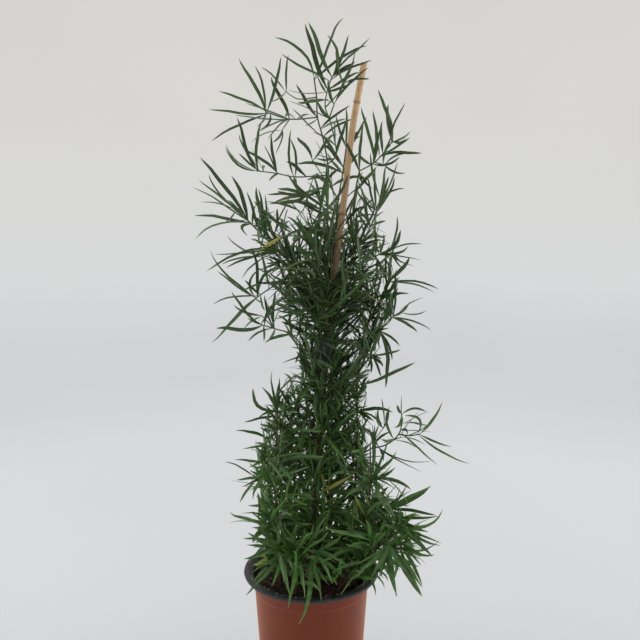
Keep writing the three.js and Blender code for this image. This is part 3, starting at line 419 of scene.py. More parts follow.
            [[96, 166, -62], [110, 109, -72, -4, 5.2], [101, 136, -86, 2, 4.2], [105, 129, -60, -10, 3],
             [93, 133, -70, -12, 3.8], [86, 134, -92, 2, 4.4]],
            [[72, 160, -50], [83, 111, -88, -3, 4.2], [52, 132, -82, 3, 5], [78, 130, -74, 3, 4.6],
             [26, 145, -84, -3, 5]],
        ],
        "fill": {"from": 60, "to": 150, "spacing": 22, "reach": [44, 58], "lift": [-10, 25], "swing": 1},
    },
    {
        "name": "left_low_shoot", "seed": 101, "foot": [-38, -22], "radius": 1.7,
        "shoots": [
            [[-40, 165, -26], [-42, 205, -30], [-45, 255, -32], [-44, 300, -30], [-42, 330, -28],
             [-42, 352, -27]],
            [[-44, 290, -30], [-58, 286, -36]],
            [[-42, 205, -30], [-58, 200, -10], [-66, 206, 14]],
        ],
        "sprays": [
            [[-42, 352, -27], [-70, 382, -32, 26, 4.2], [-61, 382, -24, -5, 4.2], [-66, 343, -40, -6, 3.2],
             [-38, 388, -36, 3, 4.2], [-49, 402, -20, 2, 3], [-14, 372, -48, -4, 4]],
            [[-42, 328, -28], [-64, 334, -20, -2, 3.2], [-59, 315, -44, 3, 3]],
            [[-44, 304, -30], [-86, 302, -38, -8, 3], [-70, 311, -14, -3, 3]],
            [[-58, 286, -36], [-96, 290, -46, 0, 3], [-78, 286, -30, 14, 3.2], [-76, 262, -52, 3, 2.4]],
            [[-45, 255, -32], [-78, 249, -40, -5, 3.2], [-84, 256, -20, 2, 2], [-20, 285, -60, 5, 4.6]],
            [[-43, 228, -31], [-66, 238, -44, -2, 3.4], [-80, 230, -24, -3, 4.6], [-14, 232, -66, 4, 4.6]],
            [[-42, 205, -30], [-75, 222, -38, -3, 5.2], [-71, 199, -48, 2, 4], [-72, 190, -60, -3, 5.2],
             [0, 206, -70, 5, 4.6]],
            [[-40, 180, -28], [-87, 186, -40, -6, 4.2], [-82, 179, -26, 3, 4.2]],
        ],
        "fill": {"from": 60, "to": 330, "spacing": 30, "reach": [42, 56], "lift": [-10, 35], "swing": 1},
    },
    {
        "name": "front_rim_shoot", "seed": 113, "foot": [-18, -42], "radius": 1.7,
        "shoots": [
            [[-20, 145, -45], [-20, 172, -50]],
            [[-20, 150, -46], [-32, 162, -50], [-40, 168, -52]],
            [[-20, 150, -46], [-8, 162, -50], [0, 166, -54]],
        ],
        "sprays": [
            [[-40, 168, -52], [-84, 110, -74, 5, 5.2], [-76, 143, -56, 3, 4.4], [-50, 124, -88, 3, 4.6],
             [-26, 109, -92, -3, 5], [-62, 186, -66, -4, 4.4]],
            [[-20, 172, -50], [-33, 93, -100, 8, 5.4], [9, 156, -82, 3, 5], [-9, 133, -90, 2, 3.4],
             [-38, 206, -76, 4, 4.8], [4, 206, -72, -4, 4.4]],
            [[0, 166, -54], [-17, 72, -104, 12, 6], [12, 104, -96, 3, 5], [20, 126, -84, -3, 5],
             [30, 186, -76, -4, 4.8], [14, 158, -66, 2, 5]],
        ],
        "fill": {"from": 500, "to": 500, "spacing": 30, "reach": [42, 56], "lift": [0, 30], "swing": 1},
    },
    {
        "name": "rear_low_shoot", "seed": 127, "foot": [-6, 42], "radius": 1.7,
        "shoots": [
            [[-8, 180, 46], [-14, 240, 52], [-12, 300, 50], [-6, 350, 46]],
            [[-10, 190, 47], [-14, 200, 76], [-12, 206, 96]],
            [[-14, 250, 52], [-34, 262, 66], [-50, 276, 76]],
            [[-12, 280, 51], [8, 290, 70], [22, 304, 84]],
        ],
        "sprays": [],
        "fill": {"from": 40, "to": 400, "spacing": 13, "reach": [46, 64], "lift": [-25, 35], "swing": 3.1},
    },
    {
        "name": "rear_right_shoot", "seed": 131, "foot": [28, 30], "radius": 1.7,
        "shoots": [
            [[36, 180, 36], [46, 230, 44], [52, 280, 46], [50, 320, 42]],
            [[40, 200, 39], [62, 206, 58], [82, 212, 72]],
            [[38, 190, 37], [70, 190, 40], [98, 196, 38]],
        ],
        "sprays": [],
        "fill": {"from": 40, "to": 400, "spacing": 13, "reach": [46, 64], "lift": [-25, 35], "swing": 3.1},
    },
    {
        "name": "rear_left_shoot", "seed": 139, "foot": [-30, 28], "radius": 1.7,
        "shoots": [
            [[-40, 180, 32], [-50, 230, 38], [-54, 280, 36], [-48, 330, 30]],
            [[-43, 196, 34], [-62, 204, 56], [-74, 210, 74]],
            [[-52, 250, 37], [-66, 262, 20], [-72, 270, 8]],
        ],
        "sprays": [],
        "fill": {"from": 40, "to": 400, "spacing": 13, "reach": [44, 60], "lift": [-25, 35], "swing": 3.1},
    },
]

# What shows close up and is beyond the table: by plant, twigs and the cladodes at their ends. A twig is
# its places, the first on a shoot, and a twig of one place is a spot on the shoot itself. A cladode's
# sixth and seventh numbers, where it has them, are how yellow and how fresh it is.
FINE_GROWTH = {
    "leader_stem": [
        ([[20, 620, -1], [8, 612, 0], [-4, 617, 4]],
         [[-40, 620, -8, 7, 3.8, 0.12], [-36, 611, -22, 2, 4.2, 0.16], [-48, 605, 6, -3, 3.4, 0.2]]),
        ([[20, 600, -2]], [[20, 654, -16, 2, 5, 0, 1], [46, 640, -12, -5, 3.4], [-20, 632, -16, 5, 3.4]]),
        ([[4, 728, 0], [-16, 726, -6], [-30, 735, -10]],
         [[-58, 762, -20, -5, 2.4], [-50, 722, -24, 5, 2.2], [-26, 776, -4, 3, 2.6]]),
        ([[17, 716, -6], [34, 734, -12], [40, 744, -14]],
         [[70, 748, -26, 6, 2], [52, 780, -4, -3, 2.4], [30, 782, -22, 4, 2.6]]),
        ([[-25, 703, -9], [-34, 690, -14]], [[-70, 676, -22, -8, 2], [-42, 662, -30, 5, 2]]),
    ],
    "left_stem": [
        ([[-57, 566, -8], [-62, 546, -22]], [[-35, 566, -28, 2, 4.2, 0.85]]),
        ([[-40, 548, -6], [-58, 540, 4]],
         [[-100, 566, 14, 8, 2.2], [-108, 532, 4, -8, 2], [-84, 514, 18, -6, 2.4]]),
        ([[-76, 585, -10], [-92, 598, -14]],
         [[-132, 606, -26, -6, 1.8], [-122, 640, -8, 6, 2], [-112, 580, -30, 8, 2]]),
        ([[-45, 454, -22], [-60, 470, -32]], [[-94, 484, -40, 8, 2.6], [-84, 448, -30, -8, 2.2]]),
    ],
    "right_stem": [
        ([[24, 504, -9], [31, 520, -9], [37, 535, -7], [34, 549, -8], [28, 560, -9]],
         [[2, 590, -22, 4, 3.6], [54, 582, -24, -4, 3.4]]),
        ([[76, 653, -8], [88, 650, -14]],
         [[122, 664, -24, 10, 2], [112, 640, -8, -6, 2.2], [96, 684, -26, 4, 3]]),
    ],
    "right_upper_stem": [
        ([[84, 545, -14], [96, 548, -20]],
         [[134, 556, -30, 8, 2], [126, 530, -16, -8, 1.8], [104, 590, -28, -6, 3]]),
        ([[79, 600, 1], [84, 612, -4]],
         [[104, 654, -14, -6, 2.4], [112, 622, -4, 6, 2.4], [70, 664, -10, 4, 3]]),
    ],
    "right_free_stem": [
        ([[57, 300, 0], [72, 308, -6], [90, 330, -12]],
         [[87, 368, -20, -3, 1.8], [84, 356, 4, 8, 3.6], [95, 355, -24, -5, 3.4]]),
        ([[57, 352, 0]], [[101, 349, -16, 9, 5], [78, 338, -26, 4, 5.4], [30, 336, -30, 4, 5]]),
        ([[57, 290, 0]], [[69, 328, -24, 3, 5], [95, 276, -22, 3, 3.2], [36, 322, -34, -4, 5]]),
        ([[103, 315, -18], [112, 318, -26]],
         [[142, 308, -36, 5, 1.8], [150, 340, -30, -7, 2], [134, 352, -20, 5, 1.8]]),
        ([[100, 469, -6], [108, 474, -10]], [[140, 476, -20, -7, 1.8], [138, 492, -4, 6, 2]]),
    ],
    "right_low_shoot": [
        ([[82, 214, -34]],
         [[150, 255, -58, 4, 6], [124, 250, -44, 4, 4.6], [112, 182, -78, 3, 6.4], [60, 240, -70, 4, 5.4]]),
        ([[75, 262, -28]], [[58, 320, -50, 5, 5], [104, 280, -52, -4, 5], [40, 240, -62, -3, 5.2]]),
        ([[98, 226, -40], [104, 216, -50]],
         [[162, 216, -66, -4, 4.4], [147, 194, -76, -4, 5.6], [128, 189, -86, 2, 6.4]]),
    ],
    "right_rim_shoot": [
        ([[103, 192, -58], [112, 200, -64]],
         [[164, 178, -74, -5, 4.8], [154, 163, -86, 4, 6], [150, 206, -84, -4, 5], [130, 172, -94, 3, 6]]),
        ([[96, 180, -56], [99, 180, -68]],
         [[109, 109, -84, -3, 5.8], [76, 136, -94, 4, 6], [57, 138, -96, 4, 5.2], [120, 142, -90, -3, 6]]),
        ([[104, 168, -61], [110, 167, -72]],
         [[139, 109, -80, -3, 6], [140, 121, -92, 4, 4.8], [137, 150, -84, -5, 5.2],
          [104, 128, -94, 5, 3.6]]),
        ([[82, 172, -54]], [[70, 214, -84, 4, 5.6], [44, 176, -90, -4, 5.4], [108, 150, -80, 4, 5.6]]),
    ],
    "left_low_shoot": [
        ([[-42, 190, -29], [-54, 162, -34]], [[-70, 150, -36, -2, 3.6, 0.9]]),
        ([[-44, 278, -31], [-56, 270, -44]],
         [[-77, 276, -58, 5, 3.4], [-74, 238, -52, -6, 4.4], [-40, 296, -68, 4, 5]]),
        ([[-42, 215, -30], [-54, 206, -48]],
         [[-76, 214, -62, 4, 4.8], [-75, 182, -56, -4, 5], [-30, 240, -80, 4, 5]]),
    ],
    "front_rim_shoot": [
        ([[-20, 168, -49]],
         [[-62, 152, -84, -5, 5.4], [-8, 108, -102, 4, 5.6], [-50, 206, -70, 4, 5], [22, 196, -84, -4, 5]]),
        ([[-40, 168, -52], [-46, 176, -60]],
         [[-86, 160, -76, 5, 5], [-80, 196, -64, 4, 4.8], [-34, 130, -96, 3, 5.4]]),
        ([[0, 166, -54], [8, 170, -62]],
         [[46, 152, -92, 4, 5.4], [40, 192, -86, -4, 5], [26, 128, -100, 3, 5]]),
    ],
}


def colour(hex_text):
    """An sRGB hex colour as the linear RGBA that Blender's sockets take."""
    channels = [int(hex_text[i:i + 2], 16) / 255 for i in (1, 3, 5)]
    linear = [c / 12.92 if c <= 0.04045 else ((c + 0.055) / 1.055) ** 2.4 for c in channels]
    return (*linear, 1.0)


def colour_setting(name, description, default):
    return bpy.props.FloatVectorProperty(
        name=name, description=description, default=colour(default), subtype="COLOR", size=4, min=0, max=1,
    )


def length_setting(name, description, default):
    return bpy.props.FloatProperty(
        name=name, description=description, default=default * MM, unit="LENGTH", subtype="DISTANCE", min=0,
    )


class PotSettings(bpy.types.PropertyGroup):
    """Sizes and colours of the nursery pot."""

    rim_radius: length_setting("Rim radius", "Radius of the rolled lip, outside", RIM_RADIUS)
    height: length_setting("Height", "Height of the pot to the top of its lip", POT_HEIGHT)
    wall: length_setting("Wall", "Thickness of the thermoformed wall", WALL)
    outside: colour_setting("Outside", "Terracotta-coloured outer skin", "#762d13")
    inside: colour_setting("Inside", "Black inner skin and lip", "#1b1f20")


class SoilSettings(bpy.types.PropertyGroup):
    """Amounts and colours of the potting mix."""

    crumbs: bpy.props.IntProperty(
        name="Crumbs", description="How many crumbs of peat lie on top", default=1500, min=0,
    )
    chips: bpy.props.IntProperty(
        name="Bark chips", description="How many chips of bark lie on top", default=130, min=0,
    )
    peat: colour_setting("Peat", "Moist dark peat", "#2c231d")
    bark: colour_setting("Bark", "Reddish composted bark", "#5a3524")
    perlite: colour_setting("Perlite", "White perlite grains", "#cfcdc6")


class CaneSettings(bpy.types.PropertyGroup):
    """Colours of the bamboo cane and the tape that ties the stems to it."""

    skin: colour_setting("Skin", "Weathered bamboo skin", "#d4ad82")
    joint: colour_setting("Joint", "Darker line at each joint", "#7a5433")
    cut: colour_setting("Cut", "Pale cut end", "#d8bf94")
    tape: colour_setting("Tape", "Stretch tape", "#12181a")


class FoliageSettings(bpy.types.PropertyGroup):
    """Sizes and colours of the leafy stems."""

    twig_spacing: length_setting("Twig spacing", "Distance between twigs along a shoot", 11)
    thickness: length_setting("Thickness", "Thickness of a cladode at its midrib", 0.4)
    mature: colour_setting("Mature", "Cladodes of the middle and top", "#3a532d")
    fresh: colour_setting("Fresh", "Cladodes of the low shoots", "#456b2e")
    yellow: colour_setting("Yellow", "Yellowing cladodes and tips", "#c8bb58")
    bark: colour_setting("Bark", "Old woody stems", "#5c402f")
    shoot: colour_setting("Shoot", "Young green stems", "#4d6638")


class StageSettings(bpy.types.PropertyGroup):
    """The sweep round the plant, and the studio lights."""

    sweep: colour_setting("Sweep", "Pale seamless floor and backdrop", "#e4e4e3")
    top_power: bpy.props.FloatProperty(
        name="Top light", description="Power of the softbox overhead, in watts", default=16, min=0,
    )
    side_power: bpy.props.FloatProperty(
        name="Side lights", description="Power of each side softbox, in watts", default=9, min=0,
    )


def node(tree, kind, inputs=None, stops=(), **settings):
    """Adds a shader node. An input is a value, a socket or a node; stops are a ramp's colours."""
    made = tree.nodes.new(kind)
    for name, value in settings.items():
        setattr(made, name, value)
    for key, value in (inputs or {}).items():
        named = [socket for socket in made.inputs if socket.name == key and socket.enabled]
        found = named[0] if named else made.inputs[key]
        if isinstance(value, bpy.types.Node):
            value = next(socket for socket in value.outputs if socket.enabled)
        if isinstance(value, bpy.types.NodeSocket):
            tree.links.new(value, found)
        else:
            found.default_value = value
    for index, (place, shade) in enumerate(stops):
        elements = made.color_ramp.elements
        element = elements[index] if index < len(elements) else elements.new(place)
        element.position = place
        element.color = shade
    return made


def new_material(name):
    """An empty material, its node tree, and the place on the piece that its patterns read."""
    material = bpy.data.materials.new(name)
    material.use_nodes = True
    tree = material.node_tree
    tree.nodes.clear()
    return material, tree, node(tree, "ShaderNodeTexCoord").outputs["Object"]


def finished(material, **inputs):
    """Ends a material in a Principled shader with these sockets."""
    tree = material.node_tree
    named = {key.replace("_", " "): value for key, value in inputs.items()}
    shader = node(tree, "ShaderNodeBsdfPrincipled", named)
    node(tree, "ShaderNodeOutputMaterial", {"Surface": shader})
    return material


def per_mm(size):
    """The scale of a pattern whose features are that many millimetres across."""
    return 1 / (size * MM)


def noise(tree, place, size, detail):
    """Noise whose features are that many millimetres across."""
    return node(tree, "ShaderNodeTexNoise", {"Vector": place, "Scale": per_mm(size), "Detail": detail})


def scaled(tree, place, scale):
    """The place, stretched along each axis, so that a pattern on it is stretched too."""
    return node(tree, "ShaderNodeMapping", {"Vector": place, "Scale": scale})


def attribute(tree, name):
    """What the piece's own corners carry under this name."""
    return node(tree, "ShaderNodeAttribute", attribute_name=name, attribute_type="GEOMETRY")


def remap(tree, source, before, after):
    """Maps one range of a value onto another, and holds it there."""
    ends = {1: before[0], 2: before[1], 3: after[0], 4: after[1]}
    return node(tree, "ShaderNodeMapRange", {0: source, **ends})


def ramp(tree, source, stops):
    return node(tree, "ShaderNodeValToRGB", {"Fac": source}, stops)


def mixed(tree, share, base, other, blend_type="MIX"):
    inputs = {"Factor": share, "A": base, "B": other}
    return node(tree, "ShaderNodeMix", inputs, data_type="RGBA", blend_type=blend_type)


def bump(tree, height, depth, strength):
    """Relief that is that many millimetres deep."""
    return node(tree, "ShaderNodeBump", {"Height": height, "Distance": depth * MM, "Strength": strength})


def shaded(base, share, lift=0.0):
    """A colour made darker or paler."""
    return (*(min(1, channel * share + lift) for channel in base[:3]), 1)


def terracotta_skin(settings):
    """Polypropylene sheet, thermoformed: a satin terracotta skin, faintly streaked and dusty."""
    material, tree, place = new_material("Polypropylene sheet, thermoformed, terracotta")
    # Large soft clouding from handling, and fine rings left where the hot sheet was drawn down.
    cloud = noise(tree, place, 40, 3.0)
    stretched = scaled(tree, place, (1, 1, 14))
    draw = noise(tree, stretched, 30, 5.0)
    grit = noise(tree, place, 1.6, 2.0)
    deep = shaded(settings.outside, 0.90)
    pale = shaded(settings.outside, 1.10)
    body = ramp(tree, cloud, [(0.3, deep), (0.7, pale)])
    streak = ramp(tree, draw, [(0.35, (0.95, 0.95, 0.95, 1)), (0.65, (1.03, 1.03, 1.03, 1))])
    streaked = mixed(tree, 1.0, body, streak, "MULTIPLY")
    # Pale dust and dried splashes gather in sparse specks.
    speck = remap(tree, grit, (0.66, 0.74), (0.0, 0.25))
    dusty = mixed(tree, speck, streaked, colour("#b89a8a"))
    rough = remap(tree, cloud, (0.3, 0.7), (0.42, 0.52))
    relief = bump(tree, draw, 0.12, 0.4)
    # The film of dust shows where the wall turns away from the eye, as a paler edge.
    return finished(
        material, Base_Color=dusty, Roughness=rough, IOR=1.49, Specular_IOR_Level=0.3, Normal=relief,
        Sheen_Weight=0.9, Sheen_Roughness=0.35, Sheen_Tint=colour("#e8a67c"),
    )


def black_skin(settings):
    """Polypropylene sheet, thermoformed: a black satin skin with grey scuffs and a film of dust."""
    material, tree, place = new_material("Polypropylene sheet, thermoformed, black")
    scuff = noise(tree, place, 7, 6.0)
    dust = noise(tree, place, 1.2, 2.0)
    worn = remap(tree, scuff, (0.5, 0.75), (0.0, 0.35))
    scuffed = mixed(tree, worn, settings.inside, colour("#5d6262"))
    film = remap(tree, dust, (0.6, 0.78), (0.0, 0.5))
    dusty = mixed(tree, film, scuffed, colour("#84786b"))
    rough = remap(tree, scuff, (0.3, 0.7), (0.34, 0.58))
    relief = bump(tree, scuff, 0.15, 0.5)
    return finished(material, Base_Color=dusty, Roughness=rough, IOR=1.49, Normal=relief)


def peat(settings):
    """Moist peat mix: dark fibrous crumbs with red-brown bark in drifts, quite dull."""
    material, tree, place = new_material("Peat and bark potting mix, moist")
    crumb = noise(tree, place, 2.4, 7.0)
    drift = noise(tree, place, 26, 2.0)
    flake = node(tree, "ShaderNodeTexVoronoi", {"Vector": place, "Scale": per_mm(3.2)})
    dark = shaded(settings.peat, 0.45)
    pale = shaded(settings.peat, 2.1)
    mix = ramp(tree, crumb, [(0.32, dark), (0.55, settings.peat), (0.76, pale)])
    patch = remap(tree, drift, (0.5, 0.62), (0.0, 0.7))
    barky = mixed(tree, patch, mix, settings.bark)
    shade = remap(tree, flake, (0.0, 0.5), (0.6, 1.15))
    lumpy = mixed(tree, 1.0, barky, shade, "MULTIPLY")
    relief = bump(tree, crumb, 1.2, 0.9)
    return finished(material, Base_Color=lumpy, Roughness=0.88, IOR=1.4, Normal=relief)


def crumb_finish(name, base, pale_share, grain):
    """Loose bits of the mix, such as peat crumbs, bark and perlite: rough, mottled from bit to bit."""
    material, tree, place = new_material(name)
    bit = noise(tree, place, grain, 2.0)
    fibre = noise(tree, place, 0.5, 4.0)
    dark = shaded(base, 0.5)
    pale = shaded(base, pale_share)
    mottled = ramp(tree, bit, [(0.35, dark), (0.5, base), (0.66, pale)])
    rough = remap(tree, fibre, (0.3, 0.7), (0.72, 0.95))
    relief = bump(tree, fibre, 0.3, 0.8)
    return finished(material, Base_Color=mottled, Roughness=rough, IOR=1.45, Normal=relief)


def bamboo(settings):
    """Bamboo stake, sun-dried: a satin straw skin with long fibres and brown joints."""
    material, tree, place = new_material("Bamboo stake, sun-dried")
    stretched = scaled(tree, place, (1, 1, 0.03))
    fibre = noise(tree, stretched, 0.9, 4.0)
    stain = noise(tree, place, 24, 4.0)
    fleck = noise(tree, place, 2.2, 3.0)
    deep = shaded(settings.skin, 0.55)
    pale = shaded(settings.skin, 1.25)
    skin = ramp(tree, fibre, [(0.3, deep), (0.5, settings.skin), (0.72, pale)])
    # Below 0.66 m the skin turns browner, most of all below 0.52 m.
    parts = node(tree, "ShaderNodeSeparateXYZ", {"Vector": place})
    low = remap(tree, parts.outputs["Z"], (0.66, 0.52), (0.0, 0.75))
    browner_low = mixed(tree, low, skin, colour("#705c42"))
    mark = remap(tree, stain, (0.55, 0.72), (0.0, 0.5))
    stained = mixed(tree, mark, browner_low, settings.joint)
    dot = remap(tree, fleck, (0.66, 0.76), (0.0, 0.6))
    flecked = mixed(tree, dot, stained, colour("#4e3826"))
    # The joint's ridge and the sheath scar under it carry their own darker tone.
    ring = attribute(tree, "joint")
    jointed = mixed(tree, ring.outputs["Fac"], flecked, settings.joint)
    rough = remap(tree, stain, (0.3, 0.7), (0.38, 0.6))
    relief = bump(tree, fibre, 0.12, 0.7)
    return finished(material, Base_Color=jointed, Roughness=rough, IOR=1.5, Normal=relief)


def cut_bamboo(settings):
    """Bamboo, sawn across: pale end grain with dark fibre dots."""
    material, tree, place = new_material("Bamboo, sawn across")
    dots = node(tree, "ShaderNodeTexVoronoi", {"Vector": place, "Scale": per_mm(0.5)})
    grain = ramp(tree, dots, [(0.1, colour("#6d4c30")), (0.4, settings.cut), (1.0, settings.cut)])
    return finished(material, Base_Color=grain, Roughness=0.8, IOR=1.5)


def stretch_tape(settings):
    """Vinyl plant-tie tape, stretched: near black, satin, finely wrinkled along the pull."""
    material, tree, place = new_material("Vinyl tie tape, stretched")
    pulled = scaled(tree, place, (0.15, 0.15, 1))
    wrinkle = noise(tree, pulled, 1.1, 4.0)
    bloom = noise(tree, place, 9, 3.0)
    pale = shaded(settings.tape, 1.9, 0.004)
    tone = ramp(tree, bloom, [(0.35, settings.tape), (0.75, pale)])
    rough = remap(tree, wrinkle, (0.3, 0.7), (0.3, 0.5))
    relief = bump(tree, wrinkle, 0.3, 0.8)
    return finished(material, Base_Color=tone, Roughness=rough, IOR=1.53, Normal=relief)


def cladode_tissue(settings):
    """Asparagus cladode, living: waxy green, silvery where the light grazes it, its midrib paler."""
    material, tree, place = new_material("Asparagus cladode, living and waxy")
    # Tint holds, red to blue: how fresh the cladode is, how yellow, and how far along it a point lies.
    tint = attribute(tree, "tint")
    parts = node(tree, "ShaderNodeSeparateColor", {"Color": tint.outputs["Color"]})
    fresh, yellowing, along = parts.outputs["Red"], parts.outputs["Green"], parts.outputs["Blue"]
    # The blade's own pattern: millimetres across it and along it.
    blade = node(tree, "ShaderNodeUVMap", uv_map="blade")
    across = node(tree, "ShaderNodeSeparateXYZ", {"Vector": blade})
    fibre = scaled(tree, blade, (1.6, 0.08, 1))
    vein = node(tree, "ShaderNodeTexNoise", {"Vector": fibre, "Scale": 1.0, "Detail": 3.0})
    # The green runs from far darker than mature to paler than fresh, and a random mottle darkens and lightens
    # it further. Both are partly real tone and partly painted light: their wide range makes some cladodes
    # look lit and others shaded.
    mottle = noise(tree, place, 7, 3.0)
    dark = shaded(settings.mature, 0.5)
    pale = shaded(settings.fresh, 1.35)
    green = ramp(tree, fresh, [(0.0, dark), (0.35, settings.mature), (0.75, settings.fresh), (1.0, pale)])
    shade = remap(tree, mottle, (0.3, 0.7), (0.72, 1.3))
    mottled = mixed(tree, 1.0, green, shade, "MULTIPLY")
    middle = node(tree, "ShaderNodeMath", {0: across.outputs["X"]}, operation="ABSOLUTE")
    rib = remap(tree, middle, (0.1, 0.5), (0.35, 0.0))
    ribbed = mixed(tree, rib, mottled, colour("#7f9a5c"))
    # Yellowing creeps in from the tip, and only the last millimetres of a healthy one are pale.
    tip = remap(tree, along, (0.93, 1.0), (0.0, 0.55))
    spread = node(tree, "ShaderNodeMath", {0: yellowing, 1: tip}, operation="MAXIMUM")
    tissue = mixed(tree, spread, ribbed, settings.yellow)
    rough = remap(tree, mottle, (0.3, 0.7), (0.36, 0.52))
    relief = bump(tree, vein, 0.12, 0.6)
    return finished(material, Base_Color=tissue, Roughness=rough, IOR=1.42, Normal=relief)


def shoot_bark(settings):
    """Asparagus stem: green and satin while young, and brown, dull and lined where it has aged."""
    material, tree, place = new_material("Asparagus stem, young green to woody")
    tint = attribute(tree, "tint")
    parts = node(tree, "ShaderNodeSeparateColor", {"Color": tint.outputs["Color"]})
    stretched = scaled(tree, place, (1, 1, 0.12))
    line = noise(tree, stretched, 0.8, 4.0)
    patch = noise(tree, place, 18, 3.0)
    age = node(tree, "ShaderNodeMath", {0: parts.outputs["Red"], 1: patch}, operation="ADD")
    aged = remap(tree, age, (0.75, 1.15), (0.0, 1.0))
    skin = mixed(tree, aged, settings.shoot, settings.bark)
    shade = remap(tree, line, (0.3, 0.7), (0.7, 1.2))
    lined = mixed(tree, 1.0, skin, shade, "MULTIPLY")
    rough = remap(tree, aged, (0.0, 1.0), (0.42, 0.72))
    relief = bump(tree, line, 0.2, 0.7)
    return finished(material, Base_Color=lined, Roughness=rough, IOR=1.45, Normal=relief)


def sweep_paper(settings):
    """Backdrop sheet with a painted glow: matt, even and seamless. The glow is painted light that stands in
    for the studio's fill, a little dimmer in front.
    """
    material, tree, place = new_material("Backdrop sheet, painted glow")
    parts = node(tree, "ShaderNodeSeparateXYZ", {"Vector": place})
    # Painted light: the sheet glows though it is no lamp, dimmer towards the front and brighter a little way
    # up from the floor.
    back = remap(tree, parts.outputs["Y"], (-3.0, 1.0), (0.38, 0.51))
    rise = remap(tree, parts.outputs["Z"], (0.0, 0.35), (0.0, 0.085))
    painted_glow = node(tree, "ShaderNodeMath", {0: back, 1: rise}, operation="ADD")
    uneven = noise(tree, place, 900, 1.0)
    dim = shaded(settings.sweep, 0.38)
    pale = shaded(settings.sweep, 0.42)
    tone = ramp(tree, uneven, [(0.3, dim), (0.7, pale)])
    # The painted glow is cooler near the floor and warmer higher up the wall.
    painted_warmth_share = remap(tree, parts.outputs["Z"], (0.1, 1.2), (0.0, 1.0))
    light = mixed(tree, painted_warmth_share, colour("#e1e4e8"), colour("#e7e5df"))
    return finished(material, Base_Color=tone, Roughness=0.9, Emission_Color=light, Emission_Strength=painted_glow)


def start_fresh():
    """Leaves edit mode's last selection behind, because an operator acts on all that is selected."""
    for piece in bpy.context.selected_objects:
        piece.select_set(False)
    bpy.context.view_layer.objects.active = None


def select_only(piece):
    start_fresh()
    piece.select_set(True)
    bpy.context.view_layer.objects.active = piece


def ring_form(name, sides, rings):
    """Models a closed form from a disc, extruded and scaled ring by ring: each is (radius, height)."""
    start_fresh()
    radius, height = rings[0]
    bpy.ops.mesh.primitive_circle_add(vertices=sides, radius=radius, fill_type="NGON")
    piece = bpy.context.object
    piece.name = name
    piece.data.name = name
    bpy.ops.object.mode_set(mode="EDIT")
    bpy.ops.mesh.select_all(action="SELECT")
    bpy.ops.transform.translate(value=(0, 0, height))
    for next_radius, next_height in rings[1:]:
        rise = next_height - height
        bpy.ops.mesh.extrude_region_move(TRANSFORM_OT_translate={"value": (0, 0, rise)})
        scale = next_radius / radius
        bpy.ops.transform.resize(value=(scale, scale, 1), center_override=(0, 0, next_height))
        radius, height = next_radius, next_height
    bpy.ops.mesh.select_all(action="SELECT")
    bpy.ops.mesh.normals_make_consistent(inside=False)
    bpy.ops.object.mode_set(mode="OBJECT")
    return piece


def apply_all(piece):
    select_only(piece)
    for modifier in list(piece.modifiers):
        bpy.ops.object.modifier_apply(modifier=modifier.name)


def soften(piece, degrees):
    """Smooth shading, broken where faces meet at more than this angle."""
    select_only(piece)
    bpy.ops.object.shade_smooth_by_angle(angle=math.radians(degrees))


def settle(piece, node_name=None):
    """Makes a finished piece part of the plant, standing for a solid where one is named."""
    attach(piece, "root")
    if node_name:
        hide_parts(node_name)


def template_of(piece):
    """A modelled form's corners and faces, taken to be copied; the form itself is removed."""
    mesh = piece.data
    corners = np.array([corner.co for corner in mesh.vertices])
    faces = [tuple(face.vertices) for face in mesh.polygons]
    bpy.data.objects.remove(piece)
    bpy.data.meshes.remove(mesh)
    return corners, faces


class Growth:
    """Gathers bent and placed copies of the modelled forms, and makes them one piece."""

    def __init__(self):
        self.corners = []
        self.faces = []
        self.finishes = []
        self.tints = []
        self.patterns = []
        self.count = 0

    def add(self, corners, faces, finish=0, tint=(0, 0, 0), pattern=None):
        """Adds one copy: its corners in millimetres, faces, material, tint and flat pattern."""
        start = self.count
        self.corners.append(corners)
        self.faces.extend([tuple(corner + start for corner in face) for face in faces])
        self.finishes.extend([finish] * len(faces))
        self.tints.append(np.broadcast_to(tint, (len(corners), 3)))
        self.patterns.append(np.zeros((len(corners), 2)) if pattern is None else pattern)
        self.count += len(corners)

    def as_piece(self, name, materials):
        mesh = bpy.data.meshes.new(name)
        mesh.from_pydata(np.concatenate(self.corners) * MM, [], self.faces)
        mesh.polygons.foreach_set("material_index", self.finishes)
        tints = np.concatenate(self.tints)
        tint = mesh.attributes.new("tint", "FLOAT_COLOR", "POINT")
        tint.data.foreach_set("color", np.hstack([tints, np.ones((len(tints), 1))]).ravel())
        pattern = np.concatenate(self.patterns)
        order = np.zeros(len(mesh.loops), int)
        mesh.loops.foreach_get("vertex_index", order)
        flat = mesh.uv_layers.new(name="blade")
        flat.data.foreach_set("uv", pattern[order].ravel())
        for material in materials:
            mesh.materials.append(material)
        piece = bpy.data.objects.new(name, mesh)
        bpy.context.scene.collection.objects.link(piece)
        return piece


def dice(seed):
    """One seeded generator, so that the plant grows the same way every time."""
    state = seed

    def roll(low, high):
        nonlocal state
        state = (state * DICE_FACTOR + DICE_STEP) % DICE_SPAN
        return low + (high - low) * state / DICE_SPAN

    return roll


def seen(place):
    """A place [x, z, y] of the plant table, moved along the line of sight to its depth."""
    x, z, y = place
    scale = (y - EYE.y) / -EYE.y
    return np.array([EYE.x + (x - EYE.x) * scale, y, EYE.z + (z - EYE.z) * scale])


def as_seen(x, y, z):
    """Where a point appears on the plane of the plant table, as x and z."""
    scale = (y - EYE.y) / -EYE.y
    return EYE.x + (x - EYE.x) / scale, EYE.z + (z - EYE.z) / scale


def unit(vector):
    return vector / max(np.linalg.norm(vector), 1e-9)


